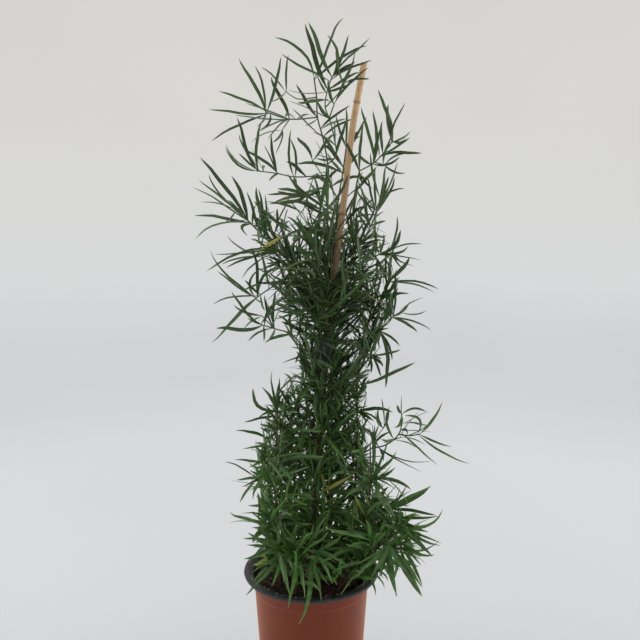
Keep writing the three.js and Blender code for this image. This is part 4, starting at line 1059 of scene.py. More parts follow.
class Line:
    """A smooth middle line through places, which keeps count of the way along it."""

    def __init__(self, places, even=False):
        places = [np.asarray(place, float) for place in places]
        spots = [2 * places[0] - places[1], *places, 2 * places[-1] - places[-2]]
        points = [places[0]]
        for before, start, end, after in zip(spots, spots[1:], spots[2:], spots[3:]):
            ways = (start - before, end - start, after - end)
            a, b, c = (1 if even else max(np.linalg.norm(way), 1e-3) ** 0.5 for way in ways)
            leave = b * ((start - before) / a - (end - before) / (a + b) + (end - start) / b)
            arrive = b * ((end - start) / b - (after - start) / (b + c) + (after - end) / c)
            steps = max(2, round(np.linalg.norm(end - start) / LINE_STEP))
            t = (np.arange(1, steps + 1) / steps)[:, None]
            bend = -3 * start + 3 * end - 2 * leave - arrive
            turn = 2 * start - 2 * end + leave + arrive
            points.extend(start + leave * t + bend * t ** 2 + turn * t ** 3)
        self.points = np.array(points)
        gaps = np.linalg.norm(np.diff(self.points, axis=0), axis=1)
        self.ways = np.concatenate([[0], np.cumsum(gaps)])
        self.length = self.ways[-1]

    def at(self, way):
        """The points that lie this far along the line."""
        return np.stack([np.interp(way, self.ways, self.points[:, axis]) for axis in range(3)], axis=-1)

    def heading(self, way):
        return unit(self.at(min(way + 1, self.length)) - self.at(max(way - 1, 0)))

    def nearest(self, place):
        """How far along the line its nearest point to the place lies, and how near that is."""
        gaps = np.linalg.norm(self.points - place, axis=1)
        best = int(np.argmin(gaps))
        return self.ways[best], gaps[best]


def laid_along(line, corners, radius_at):
    """Bends a straight form, as long as one unit of height, to follow a line."""
    shares = np.unique(corners[:, 2])
    ways = shares * line.length
    points = line.at(ways)
    tangents = np.gradient(points, axis=0)
    side = unit(np.array([0.31, 0.17, 0.05]) + 0.9 * np.array([tangents[0][1], -tangents[0][0], 0]))
    placed = np.zeros_like(corners)
    for share, way, point, tangent in zip(shares, ways, points, tangents):
        forward = unit(tangent)
        side = unit(side - forward * side.dot(forward))
        face = np.cross(forward, side)
        here = corners[:, 2] == share
        radius = radius_at(way)
        placed[here] = point + radius * (corners[here, 0:1] * side + corners[here, 1:2] * face)
    return placed


def tapered(line, foot, tip):
    """A radius that shrinks evenly along a line, for laid_along."""
    return lambda way: foot + (tip - foot) * way / line.length


# A cladode's outline: how far along it, and how wide there as a share of its full width. Those of the
# middle and top are ribbon-like, and those of the low shoots are broader below and taper for longer.
RIBBON_OUTLINE = [
    (0, 0.20), (0.05, 0.32), (0.12, 0.56), (0.22, 0.84), (0.34, 0.97), (0.5, 1), (0.66, 0.94),
    (0.8, 0.76), (0.9, 0.52), (0.965, 0.27), (1, 0.05),
]
LANCE_OUTLINE = [
    (0, 0.18), (0.06, 0.32), (0.14, 0.62), (0.25, 0.89), (0.38, 1), (0.5, 0.96), (0.64, 0.80),
    (0.77, 0.57), (0.88, 0.34), (0.95, 0.17), (1, 0.03),
]
LANCE_FROM = 0.5
CHANNEL = 0.11
RIPPLE = 0.007

# How much a cladode may bend by itself: shares of its length, and its twist in radians.
CURL = 0.028
TWIST = 0.6
WAVE = 0.05
HOOK = 0.9
ROD_SIDES = 7


def cladode_form(outline):
    """Models one flat cladode: a lens in section, extruded along its outline from foot to tip."""
    piece = ring_form("cladode_form", 4, [(width, along) for along, width in outline])
    corners, faces = template_of(piece)
    widest = np.interp(corners[:, 2], *zip(*outline))
    is_middle = np.abs(corners[:, 0]) < 0.2 * widest
    return corners, faces, widest, is_middle


def rod_form(steps):
    """Models one straight piece of stem, a unit thick and a unit long."""
    piece = ring_form("rod_form", ROD_SIDES, [(1, step / steps) for step in range(steps + 1)])
    return template_of(piece)


def thorn_form():
    """Models one short thorn: a cone that hooks downwards."""
    piece = ring_form("thorn_form", 5, [(1, 0), (0.62, 0.3), (0.34, 0.62), (0.06, 1)])
    corners, faces = template_of(piece)
    corners[:, 1] -= 0.9 * corners[:, 2] ** 2
    return corners, faces


def cladode(root, bow, tip, side, width, fresh, roll, yellow=0.0, limp=1.0):
    """One cladode by its foot, the pull of its bow and its tip, with small bends of its own."""
    return {
        "root": root, "bow": bow, "tip": tip, "side": side, "width": width, "fresh": fresh,
        "yellow": yellow, "curl": roll(-CURL, CURL) * limp, "twist": roll(-TWIST, TWIST) * limp,
        "wave": roll(-WAVE, WAVE) * limp, "hook": roll(-HOOK, HOOK) * limp,
    }


def bowed(root, bow, tip, t):
    """The point a share t of the way along a cladode, before its small bends."""
    return (1 - t) ** 2 * root + 2 * t * (1 - t) * bow + t ** 2 * tip


def bent_cladodes(growth, forms, cladodes, thickness, finish):
    """Bends one copy of a cladode form for each cladode, and adds them all."""
    for one in cladodes:
        corners, faces, widest, is_middle = forms[one["fresh"] > LANCE_FROM]
        shares, station = np.unique(corners[:, 2], return_inverse=True)
        t = shares[:, None]
        points = bowed(one["root"], one["bow"], one["tip"], t)
        way = one["tip"] - one["root"]
        length = np.linalg.norm(way)
        forward = way / length
        side = unit(one["side"] - forward * one["side"].dot(forward))
        up = np.cross(forward, side)
        # A slow sickle wave, a quicker one that is weaker, and a hook in the last quarter.
        sway = np.sin(2 * math.pi * t) * one["curl"] + np.sin(5 * math.pi * t + 3 * one["twist"]) * RIPPLE * t
        hook = np.clip(t - 0.72, 0, 1) ** 2 * one["hook"]
        lift = t ** 3 * (1 - t) * 4 * one["wave"]
        points = points + (side * (sway + hook) + up * (lift + hook * 0.5)) * length
        tangents = np.gradient(points, shares, axis=0)
        tangents /= np.linalg.norm(tangents, axis=1)[:, None]
        across = side - tangents * (tangents @ side)[:, None]
        across /= np.linalg.norm(across, axis=1)[:, None]
        face = np.cross(tangents, across)
        turn = (one["twist"] * (shares - 0.3))[:, None]
        across, face = (
            across * np.cos(turn) + face * np.sin(turn),
            face * np.cos(turn) - across * np.sin(turn),
        )
        if face[:, 2].mean() < 0:
            across, face = -across, -face
        half = one["width"] / 2
        sunk = is_middle * CHANNEL * one["width"] * widest
        placed = (
            points[station] + across[station] * (corners[:, 0:1] * half)
            + face[station] * (corners[:, 1:2] * thickness / 2 - sunk[:, None])
        )
        tint = np.empty((len(corners), 3))
        tint[:] = (one["fresh"], one["yellow"], 0)
        tint[:, 2] = corners[:, 2]
        pattern = np.column_stack([corners[:, 0] * half, corners[:, 2] * length])
        growth.add(placed, faces, finish, tint, pattern)


def shoots_of(plant):
    """The plant's middle lines: the stem rises from the soil, and each side shoot springs from it."""
    lines = []
    for index, places in enumerate(plant["shoots"]):
        spots = [seen(place) for place in places]
        if index == 0:
            x, y = plant["foot"]
            spots = [np.array([x, y, SOIL_TOP - ROOT_DEPTH]), np.array([x, y, SOIL_TOP + 4]), *spots]
        else:
            spots[0] = nearest_on(lines, spots[0])[0]
        lines.append(Line(spots))
    return lines


def nearest_on(lines, place):
    """The nearest point on several lines, and the way back down the shoot from there."""
    line = min(lines, key=lambda one: one.nearest(place)[1])
    way = line.nearest(place)[0]
    return line.at(way), -line.heading(way)


def placed_cladode(root, tip_seen, shift, roll, fresh):
    """A cladode given by its tip as it is seen. A narrow one is turned towards its edge."""
    x, z, y, bend, width = tip_seen[:5]
    yellow = tip_seen[5] if len(tip_seen) > 5 else 0.0
    tip = seen([x, z, y + shift])
    way = tip - root
    left = unit(np.array([-way[2], 0, way[0]]))
    bow = root + 0.5 * way + left * bend
    bow[1] += shift / 3
    shown = min(1, width / NARROWEST) * roll(0.9, 1)
    side = left * shown - np.array([0, math.sqrt(1 - shown ** 2), 0])
    return cladode(root, bow, tip, side, max(width, NARROWEST), fresh, roll, yellow, TABLE_LIMP)


def grown_cladode(root, bearing, lift, reach, arch, width, turn, roll, fresh):
    """A cladode given by rule: it leaves the stem outwards, rises and arches over."""
    out = np.array([math.cos(bearing), math.sin(bearing), 0])
    tip = root + out * reach * math.cos(lift) + np.array([0, 0, reach * math.sin(lift)])
    bow = (root + tip) / 2 + np.array([0, 0, arch])
    side = np.array([-out[1], out[0], 0]) * math.cos(turn) + np.array([0, 0, math.sin(turn)])
    return cladode(root, bow, tip, side, width, fresh, roll)


def in_envelope(tip, spare=0.0):
    """Whether a tip lies in the thick of the foliage, as it is seen and in depth."""
    x, z = as_seen(*tip)
    heights = [row[0] for row in ENVELOPE]
    if not heights[0] <= z <= heights[-1]:
        return False
    left, right, front, back = (np.interp(z, heights, [row[i] for row in ENVELOPE]) for i in range(1, 5))
    return left - spare <= x <= right + spare and front <= tip[1] <= back


def cane_at(height):
    """The cane's middle line as it is seen, at a height."""
    return np.interp(height, [place[1] for place in CANE], [place[0] for place in CANE])


def is_clear(root, bow, tip):
    """Whether a cladode keeps clear of the pot's wall, the soil, the cane and the tie."""
    tie_x = (TIE_LOW.x + TIE_HIGH.x) / 2 / MM
    for t in CLEAR_AT:
        x, y, z = bowed(root, bow, tip, t)
        out = math.hypot(x, y)
        if NECK_RADIUS - LEAF_GAP < out < RIM_RADIUS + 4 and z < POT_HEIGHT + 2.5:
            return False
        if out <= NECK_RADIUS - LEAF_GAP and z < SOIL_TOP + 4:
            return False
        if z < POT_HEIGHT - BAND_HEIGHT - 2 and out < RIM_RADIUS + LEAF_GAP:
            return False
        if z < CANE[-1][1] and math.hypot(x - cane_at(z), y) < CANE_FOOT + 1.5:
            return False
        if TIE_LOW.z / MM - 2 < z < TIE_HIGH.z / MM + 2 and math.hypot(x - tie_x, y) < TIE_RADIUS + 2:
            return False
    return True


def shows_cane(root, bow, tip):
    """Whether a cladode leaves the cane in view, where it stands in front of the leaves."""
    for t in CANE_CLEAR_AT:
        x, y, z = bowed(root, bow, tip, t)
        across, height = as_seen(x, y, z)
        gap = abs(across - cane_at(height))
        if y < 3 and CANE_SHOWS_FROM < height < CANE[-1][1] and gap < CANE_FOOT + 2:
            return False
    return True


def table_cladodes(plant, lines, roll):
    """The cladodes that the solids have too: those of the table, then those grown by its rule."""
    made = []
    for at, *tips in plant["sprays"]:
        made += spray(*nearest_on(lines, seen(at)), tips, roll)
    rule = dice(plant["seed"])
    fill = plant["fill"]
    for index, line in enumerate(lines):
        way = fill["from"] if index == 0 else fill["spacing"]
        while way < min(fill["to"], line.length):
            point, down = line.at(way), -line.heading(way)
            for i in range(FILL_BLADES):
                bearing = (0.5 if i % 2 else -0.5) * math.pi + rule(-fill["swing"], fill["swing"])
                lift = math.radians(rule(*fill["lift"]))
                reach = rule(*fill["reach"])
                arch = rule(*FILL_ARCH)
                width = rule(*FILL_WIDTH)
                turn = rule(-FILL_TURN, FILL_TURN)
                root = point + down * i * ROOT_SPACING
                fresh = freshness(root[2], roll)
                for shift in SHIFTS:
                    aim = bearing + shift * SHIFT_TURN
                    one = grown_cladode(root, aim, lift, reach, arch, width, turn, roll, fresh)
                    shape = one["root"], one["bow"], one["tip"]
                    if is_clear(*shape) and shows_cane(*shape):
                        made.append(one)
                        break
            way += fill["spacing"] * FILL_SPACING
    return made


def spray(point, down, tips, roll):
    """Cladodes that spring from one point of a shoot, a little below each other, with companions."""
    made = []
    for index, tip in enumerate(tips):
        root = point + down * index * ROOT_SPACING
        fresh = tip[6] if len(tip) > 6 else freshness(root[2], roll)
        for shift in SHIFTS:
            one = placed_cladode(root, tip, shift, roll, fresh)
            if is_clear(one["root"], one["bow"], one["tip"]):
                made.append(one)
                break
    return made + companions(point, tips, roll)


def freshness(height, roll):
    """How fresh a cladode is: high on the low shoots, and lower the further up it stands."""
    usual = np.interp(height, *zip(*FRESHNESS))
    return float(np.clip(usual + roll(-FRESH_SPREAD, FRESH_SPREAD), 0, 1))


def yellowness(roll):
    """Nearly all are healthy, and a few are yellowing."""
    chance = roll(0, 1)
    return 0.0 if chance < HEALTHY else roll(0.35, 0.85)


def leaning(direction, place, roll):
    """The side of a cladode whose face looks up and away from the plant's middle."""
    outwards = unit(np.array([place[0] - 10, place[1] + 4, 0.0]))
    face = outwards * 0.6 + np.array([roll(-0.5, 0.5), roll(-0.5, 0.5), 0.75 + roll(-0.4, 0.4)])
    return np.cross(direction, unit(face))


def whorl(point, direction, count, roll):
    """A whorl of cladodes, fanned round the shoot that carries it, rising and then arching over."""
    made = []
    first = roll(0, 2 * math.pi)
    other = unit(np.cross(direction, [0.3, 0.2, 0.9]))
    third = np.cross(direction, other)
    low = float(np.interp(point[2], *zip(*LOW_SHARE)))
    for index in range(count):
        angle = first + index * 2 * math.pi / count + roll(-0.6, 0.6)
        lean = math.radians(roll(*WHORL_LEAN))
        away = other * math.cos(angle) + third * math.sin(angle)
        heading = direction * math.cos(lean) + away * math.sin(lean)
        length = roll(*WHORL_REACH)
        root = point - direction * index * 0.5
        tip = root + heading * length
        tip[2] -= length * roll(-0.08, 0.24)
        bow = root + heading * length * 0.55 + np.array([0, 0, roll(0, 6)]) + away * roll(0, 4)
        if not (in_envelope(tip) and is_clear(root, bow, tip) and shows_cane(root, bow, tip)):
            continue
        width = roll(*WHORL_WIDTH) + low * roll(*LOW_EXTRA_WIDTH)
        made.append(cladode(
            root, bow, tip, leaning(unit(tip - root), (root + tip) / 2, roll), width,
            freshness(root[2], roll), roll, yellowness(roll),
        ))
    return made


def companions(root, tips, roll):
    """Slighter cladodes between those of the table, nearer and further than they are."""
    made = []
    for x, z, y, bend, _ in (tip[:5] for tip in tips):
        if roll(0, 1) < np.interp(root[2], *zip(*COMPANY)):
            x_root, z_root = root[0], root[2]
            turn = roll(*COMPANION_TURN) * (1 if roll(0, 1) < 0.5 else -1)
            reach = roll(*COMPANION_REACH)
            across, rise = (x - x_root) * reach, (z - z_root) * reach
            place = [
                x_root + across * math.cos(turn) - rise * math.sin(turn),
                z_root + across * math.sin(turn) + rise * math.cos(turn),
                y + roll(-COMPANION_DEPTH, COMPANION_DEPTH), bend + roll(-5, 5), roll(*COMPANION_WIDTH),
            ]
            one = placed_cladode(root, place, 0, roll, freshness(root[2], roll))
            shape = one["root"], one["bow"], one["tip"]
            is_inside = root[2] > COMPANY[1][0] or in_envelope(one["tip"], COMPANY_SPARE)
            if is_inside and is_clear(*shape) and shows_cane(*shape):
                made.append(one)
    return made


def twigs_of(plant, line, index, roll, spacing):
    """Short side twigs along a shoot, as lines."""
    twigs = []
    way = FIRST_STEM_TWIG if index == 0 else FIRST_SIDE_TWIG
    while way < line.length - 2:
        point = line.at(way)
        crowded = float(np.interp(point[2], *zip(*CROWDING)))
        way += spacing * roll(0.75, 1.3) * crowded * LUSH.get(plant["name"], 1)
        if not SOIL_TOP + 8 < point[2] < TWIGS_END:
            continue
        outwards = math.atan2(point[1] + 4, point[0] - 10)
        bearing = outwards + roll(-TWIG_SWING, TWIG_SWING)
        lift = math.radians(roll(*TWIG_LIFT))
        length = roll(*TWIG_LENGTH)
        level = math.cos(lift)
        out = np.array([math.cos(bearing) * level, math.sin(bearing) * level, math.sin(lift)])
        middle = point + out * length * 0.55
        end = point + out * length + np.array([0, 0, roll(1, 6)])
        if not (in_envelope(end) and is_clear(point, middle, end) and shows_cane(point, middle, end)):
            continue
        twigs.append(Line([point, middle, end]))
    return twigs


def stem_whorls(line, roll):
    """Whorls that spring from the stem itself, which fill the plant's dark heart."""
    made = []
    way = HEART_START
    while way < line.length:
        point = line.at(way)
        if HEART_LOW < point[2] < HEART_HIGH:
            made += whorl(point, line.heading(way), 3, roll)
        way += HEART_SPACING * roll(0.7, 1.3)
    return made


def wall_radius(height):
    """The pot's outer radius at a height: a straight taper, with the band a step wider."""
    straight = BASE_RADIUS + (NECK_RADIUS - BASE_RADIUS) * height / POT_HEIGHT
    return straight if height >= POT_HEIGHT - BAND_HEIGHT else straight - BAND_STEP


def pot_rings(wall):
    """The pot's section from the middle of its base, up the outside, over the lip and down inside."""
    band = POT_HEIGHT - BAND_HEIGHT
    lip = POT_HEIGHT - LIP_HEIGHT
    outside = [
        (BASE_RADIUS - 24, 0.9), (BASE_RADIUS - 7, 0.9), (BASE_RADIUS - 5.5, 0), (BASE_RADIUS - 2.2, 0),
        (BASE_RADIUS - 0.8, 0.5), (BASE_RADIUS - 0.2, 1.6), (wall_radius(4), 4), (wall_radius(60), 60),
        (wall_radius(band - 2), band - 2), (wall_radius(band - 1.2) + 0.2, band - 1.2),
        (wall_radius(band) - 0.2, band - 0.2), (wall_radius(band), band + 0.8),
        (NECK_RADIUS - 0.3, lip - 0.4), (NECK_RADIUS + 0.4, lip + 0.6), (NECK_RADIUS + 2, lip + 1),
    ]
    rolled = [
        (RIM_RADIUS - 4, lip + 0.5), (RIM_RADIUS - 1.6, lip), (RIM_RADIUS - 0.5, lip + 0.7),
        (RIM_RADIUS, lip + 2.2), (RIM_RADIUS - 0.5, lip + 3.8), (RIM_RADIUS - 2, POT_HEIGHT - 0.3),
        (RIM_RADIUS - 4, POT_HEIGHT), (RIM_RADIUS - 6.5, POT_HEIGHT - 0.2),
        (RIM_RADIUS - 9, POT_HEIGHT - 1.2), (NECK_RADIUS - 0.6, POT_HEIGHT - 3),
        (NECK_RADIUS - wall, lip - 0.5),
    ]
    inside = [
        (wall_radius(band) - wall, band + 0.6), (wall_radius(band - 2) - wall, band - 2),
        (wall_radius(60) - wall, 60), (BASE_RADIUS - 2 - wall, 4.5), (BASE_RADIUS - 5 - wall, 2.7),
        (BASE_RADIUS - 24, 2.7),
    ]
    return outside, rolled, inside


class PLANT_OT_make_pot(bpy.types.Operator):
    """Model the nursery pot: thermoformed, with a rolled lip, a band under it and drain holes"""

    bl_idname = "plant.make_pot"
    bl_label = "Nursery Pot"

    def execute(self, context):
        settings = context.scene.plant_pot
        size = settings.rim_radius / MM / RIM_RADIUS
        tall = settings.height / MM / POT_HEIGHT
        outside, rolled, inside = pot_rings(settings.wall / MM)
        rings = [(radius * size * MM, height * tall * MM) for radius, height in outside + rolled + inside]
        pot = ring_form("nursery_pot", POT_SIDES, rings)
        for index in range(DRAIN_HOLES):
            angle = (index + 0.5) * 2 * math.pi / DRAIN_HOLES
            start_fresh()
            bpy.ops.mesh.primitive_cylinder_add(
                vertices=24, radius=DRAIN_RADIUS * MM, depth=12 * MM,
                location=(DRAIN_CIRCLE * MM * math.cos(angle), DRAIN_CIRCLE * MM * math.sin(angle), 0),
            )
            drill = bpy.context.object
            hole = pot.modifiers.new("drain hole", "BOOLEAN")
            hole.object = drill
            hole.solver = "EXACT"
            apply_all(pot)
            bpy.data.objects.remove(drill)
        pot.data.materials.append(terracotta_skin(settings))
        pot.data.materials.append(black_skin(settings))
        lip = (POT_HEIGHT - LIP_HEIGHT + 0.8) * tall * MM
        for face in pot.data.polygons:
            out = math.hypot(face.center.x, face.center.y)
            skin_radius = (wall_radius(face.center.z / MM / tall) - settings.wall / MM / 2) * size * MM
            is_outside = out > skin_radius or face.center.z < 1.5 * MM
            face.material_index = 0 if is_outside and face.center.z < lip else 1
        soften(pot, 40)
        settle(pot, "pot")
        return {"FINISHED"}


class PLANT_OT_make_soil(bpy.types.Operator):
    """Model the plug of potting mix that fills the pot, with a lumpy top"""

    bl_idname = "plant.make_soil"
    bl_label = "Soil"

    def execute(self, context):
        settings = context.scene.plant_soil
        inner = NECK_RADIUS - WALL - 1.4
        side = [
            (BASE_RADIUS - 9, 3.2), (BASE_RADIUS - 5.5, 4.5), (wall_radius(60) - WALL - 0.5, 60),
            (wall_radius(120) - WALL - 0.5, 120), (inner - 1, SOIL_TOP - 3),
        ]
        top = [(inner * (1 - step / SOIL_RINGS) + 0.4, SOIL_TOP) for step in range(SOIL_RINGS + 1)]
        soil = ring_form("potting_mix", SOIL_SIDES, [(r * MM, h * MM) for r, h in side + top])
        surface = soil.vertex_groups.new(name="surface")
        rim = (inner - 1.5) * MM
        for corner in soil.data.vertices:
            out = math.hypot(corner.co.x, corner.co.y)
            if corner.co.z > (SOIL_TOP - 1) * MM:
                surface.add([corner.index], min(1, max(0.25, (rim - out) / (6 * MM))), "REPLACE")
        for name, size, depth in (("lumps", 17, 5.5), ("clods", 6, 3.4), ("crumbs", 2.2, 1.5)):
            clouds = bpy.data.textures.new(name, "CLOUDS")
            clouds.noise_scale = size * MM
            clouds.noise_depth = 2
            push = soil.modifiers.new(name, "DISPLACE")
            push.texture = clouds
            push.texture_coords = "LOCAL"
            push.direction = "Z"
            push.vertex_group = "surface"
            push.strength = depth * MM
            push.mid_level = 0.5
        apply_all(soil)
        soil.data.materials.append(peat(settings))
        soften(soil, 50)
        settle(soil, "soil")
        return {"FINISHED"}


def loose_bit(name, kind):
    """Models one crumb or chip, angular and about a unit across."""
    start_fresh()
    if kind == "chip":
        bpy.ops.mesh.primitive_cube_add(size=1)
    else:
        bpy.ops.mesh.primitive_ico_sphere_add(subdivisions=1 if kind == "grain" else 2, radius=0.5)
    bit = bpy.context.object
    bit.name = name
    bpy.ops.object.mode_set(mode="EDIT")
    bpy.ops.mesh.select_all(action="SELECT")
    if kind == "chip":
        bpy.ops.transform.resize(value=(1, 0.55, 0.22))
        bpy.ops.mesh.bevel(offset=0.05, segments=1)
    else:
        bpy.ops.transform.resize(value=(1, 0.8, 0.7))
    bpy.ops.transform.vertex_random(offset=0.09, seed=len(name) + 3)
    bpy.ops.object.mode_set(mode="OBJECT")
    return template_of(bit)


def turned(roll):
    """A turn in any direction, as a matrix."""
    return np.array(Euler((roll(0, 6.3), roll(0, 6.3), roll(0, 6.3))).to_matrix())


def on_soil(soil, x, y):
    """The height of the soil under a place, in millimetres."""
    hit, point, _, _ = soil.ray_cast(Vector((x, y, 2 * SOIL_TOP)) * MM, Vector((0, 0, -1)))
    return point.z / MM if hit else SOIL_TOP


class PLANT_OT_make_litter(bpy.types.Operator):
    """Scatter crumbs, bark chips, perlite and root threads over the soil, and specks of dust on the lip"""

    bl_idname = "plant.make_litter"
    bl_label = "Soil Litter"

    def execute(self, context):
        settings = context.scene.plant_soil
        soil = bpy.data.objects["potting_mix"]
        reach = NECK_RADIUS - WALL - 4
        roll = dice(LITTER_SEED)
        kinds = [
            ("peat_crumbs", "grain", settings.crumbs, (1.0, 3.4), settings.peat, 2.4, 3.0),
            ("bark_chips", "chip", settings.chips, (2.6, 8.0), settings.bark, 1.9, 5.0),
            ("perlite_grains", "lump", 26, (0.9, 2.2), settings.perlite, 1.1, 2.0),
        ]
        for name, kind, count, sizes, base, pale, grain in kinds:
            form = loose_bit(name + "_form", kind)
            spread = Growth()
            for _ in range(count):
                angle = roll(0, 2 * math.pi)
                out = reach * math.sqrt(roll(0, 1))
                size = roll(*sizes) * (0.7 if roll(0, 1) < 0.6 else 1)
                x, y = out * math.cos(angle), out * math.sin(angle)
                middle = np.array([x, y, on_soil(soil, x, y) + size * 0.16])
                spread.add(form[0] @ turned(roll).T * size + middle, form[1])
            label = name.replace("_", " ").capitalize()
            piece = spread.as_piece(name, [crumb_finish(label, base, pale, grain)])
            soften(piece, 30)
            settle(piece)
        lip_specks = Growth()
        form = loose_bit("speck_form", "grain")
        for _ in range(LIP_SPECKS):
            # Dust and perlite lie on the front left of the lip.
            angle, out = roll(*DUSTY_ARC), roll(NECK_RADIUS + 2, RIM_RADIUS - 3)
            middle = np.array([out * math.cos(angle), out * math.sin(angle), POT_HEIGHT - 0.1])
            lip_specks.add(form[0] @ turned(roll).T * roll(*SPECK_SIZES) + middle, form[1])
        specks = lip_specks.as_piece("lip_specks", [crumb_finish("Perlite dust", settings.perlite, 1.1, 2.0)])
        settle(specks)
        roots = Growth()
        for _ in range(ROOT_THREADS):
            x, y = roll(-50, 55), roll(-56, 20)
            heading = roll(0, 2 * math.pi)
            places = []
            for _ in range(5):
                places.append(np.array([x, y, on_soil(soil, x, y) + 0.5]))
                heading += roll(-0.8, 0.8)
                x += 5 * math.cos(heading)
                y += 5 * math.sin(heading)
            thread = Line(places)
            form = rod_form(12)
            roots.add(laid_along(thread, form[0], tapered(thread, *THREAD_RADII)), form[1])
        fibre = crumb_finish("Dry fibrous root", colour("#9a7a55"), 1.4, 6.0)
        threads = roots.as_piece("root_threads", [fibre])
        soften(threads, 40)
        settle(threads)
        return {"FINISHED"}


class PLANT_OT_make_cane(bpy.types.Operator):
    """Model the bamboo cane, with its joints and its hollow sawn end"""

    bl_idname = "plant.make_cane"
    bl_label = "Bamboo Cane"

    def execute(self, context):
        settings = context.scene.plant_cane
        line = Line([seen(place) for place in CANE], even=True)
        rings = [(CANE_FOOT * 0.55, 0), (CANE_FOOT * 0.95, 3)]
        joints = [float(np.interp(height, line.points[:, 2], line.ways)) for height in CANE_JOINTS]
        shelf = [(0.0, way) for way in np.arange(CANE_RING_STEP, line.length - 4, CANE_RING_STEP)]
        for joint in joints:
            shelf = [ring for ring in shelf if abs(ring[1] - joint) > 5]
            shelf += [(rise, joint + along) for rise, along in JOINT_RINGS]
        for rise, way in sorted(shelf, key=lambda ring: ring[1]):
            plain = CANE_FOOT + (CANE_TOP - CANE_FOOT) * way / line.length
            rings.append((plain + rise, way))
        hollow = CANE_TOP * 0.5
        rings += [(CANE_TOP, line.length - 0.6), (CANE_TOP - 0.35, line.length), (hollow, line.length - 0.1)]
        rings += [(hollow - 0.1, line.length - 7)]
        straight = ring_form("bamboo_cane", CANE_SIDES, [(radius, way) for radius, way in rings])
        corners, faces = template_of(straight)
        top = corners[:, 2].max()
        corners[:, 2] /= top
        placed = laid_along(line, corners, lambda way: 1.0)
        cane = Growth()
        cane.add(placed, faces)
        piece = cane.as_piece("bamboo_cane", [bamboo(settings), cut_bamboo(settings)])
        scar = piece.data.attributes.new("joint", "FLOAT", "POINT")
        near = np.min(np.abs(corners[:, 2:3] * top - np.array([joints])), axis=1)
        scar.data.foreach_set("value", np.clip(1 - near / 2.2, 0, 1) * 0.75)
        is_end = np.array([
            min(corners[corner][2] for corner in face) * top > line.length - 7.5
            and max(np.hypot(*corners[corner][:2]) for corner in face) < CANE_TOP - 0.3
            for face in faces
        ])
        piece.data.polygons.foreach_set("material_index", is_end.astype(int))
        soften(piece, 35)
        settle(piece, "cane")
        return {"FINISHED"}


class PLANT_OT_make_tie(bpy.types.Operator):
    """Wind the stretch tape round the stems and the cane"""

    bl_idname = "plant.make_tie"
    bl_label = "Tie"

    def execute(self, context):
        settings = context.scene.plant_cane
        middle = (TIE_LOW + TIE_HIGH) / 2
        height = TIE_HIGH.z - TIE_LOW.z
        start_fresh()
        bpy.ops.mesh.primitive_circle_add(vertices=48, radius=TIE_RADIUS * MM - 1.5 * MM, fill_type="NOTHING")
        tape = bpy.context.object
        tape.name = "tie_tape"
        bpy.ops.object.mode_set(mode="EDIT")
        bpy.ops.mesh.select_all(action="SELECT")
        bpy.ops.transform.translate(value=(0, 0, TIE_LOW.z + 0.4 * MM))
        level = TIE_LOW.z + 0.4 * MM
        for share, scale in TAPE_FOLDS:
            rise = TIE_LOW.z + share * height - level
            bpy.ops.mesh.extrude_edges_move(TRANSFORM_OT_translate={"value": (0, 0, rise)})
            level += rise
            bpy.ops.transform.resize(value=(scale, scale, 1), center_override=(0, 0, level))
        bpy.ops.mesh.select_all(action="SELECT")
        bpy.ops.mesh.normals_make_consistent(inside=False)
        bpy.ops.transform.translate(value=(middle.x, middle.y, 0))
        bpy.ops.object.mode_set(mode="OBJECT")
        wall = tape.modifiers.new("tape", "SOLIDIFY")
        wall.thickness = 0.7 * MM
        wall.offset = 0
        smooth = tape.modifiers.new("rounded folds", "SUBSURF")
        smooth.levels = 1
        smooth.render_levels = 1
        apply_all(tape)
        tape.data.materials.append(stretch_tape(settings))
        soften(tape, 50)
        settle(tape, "tie")
        return {"FINISHED"}


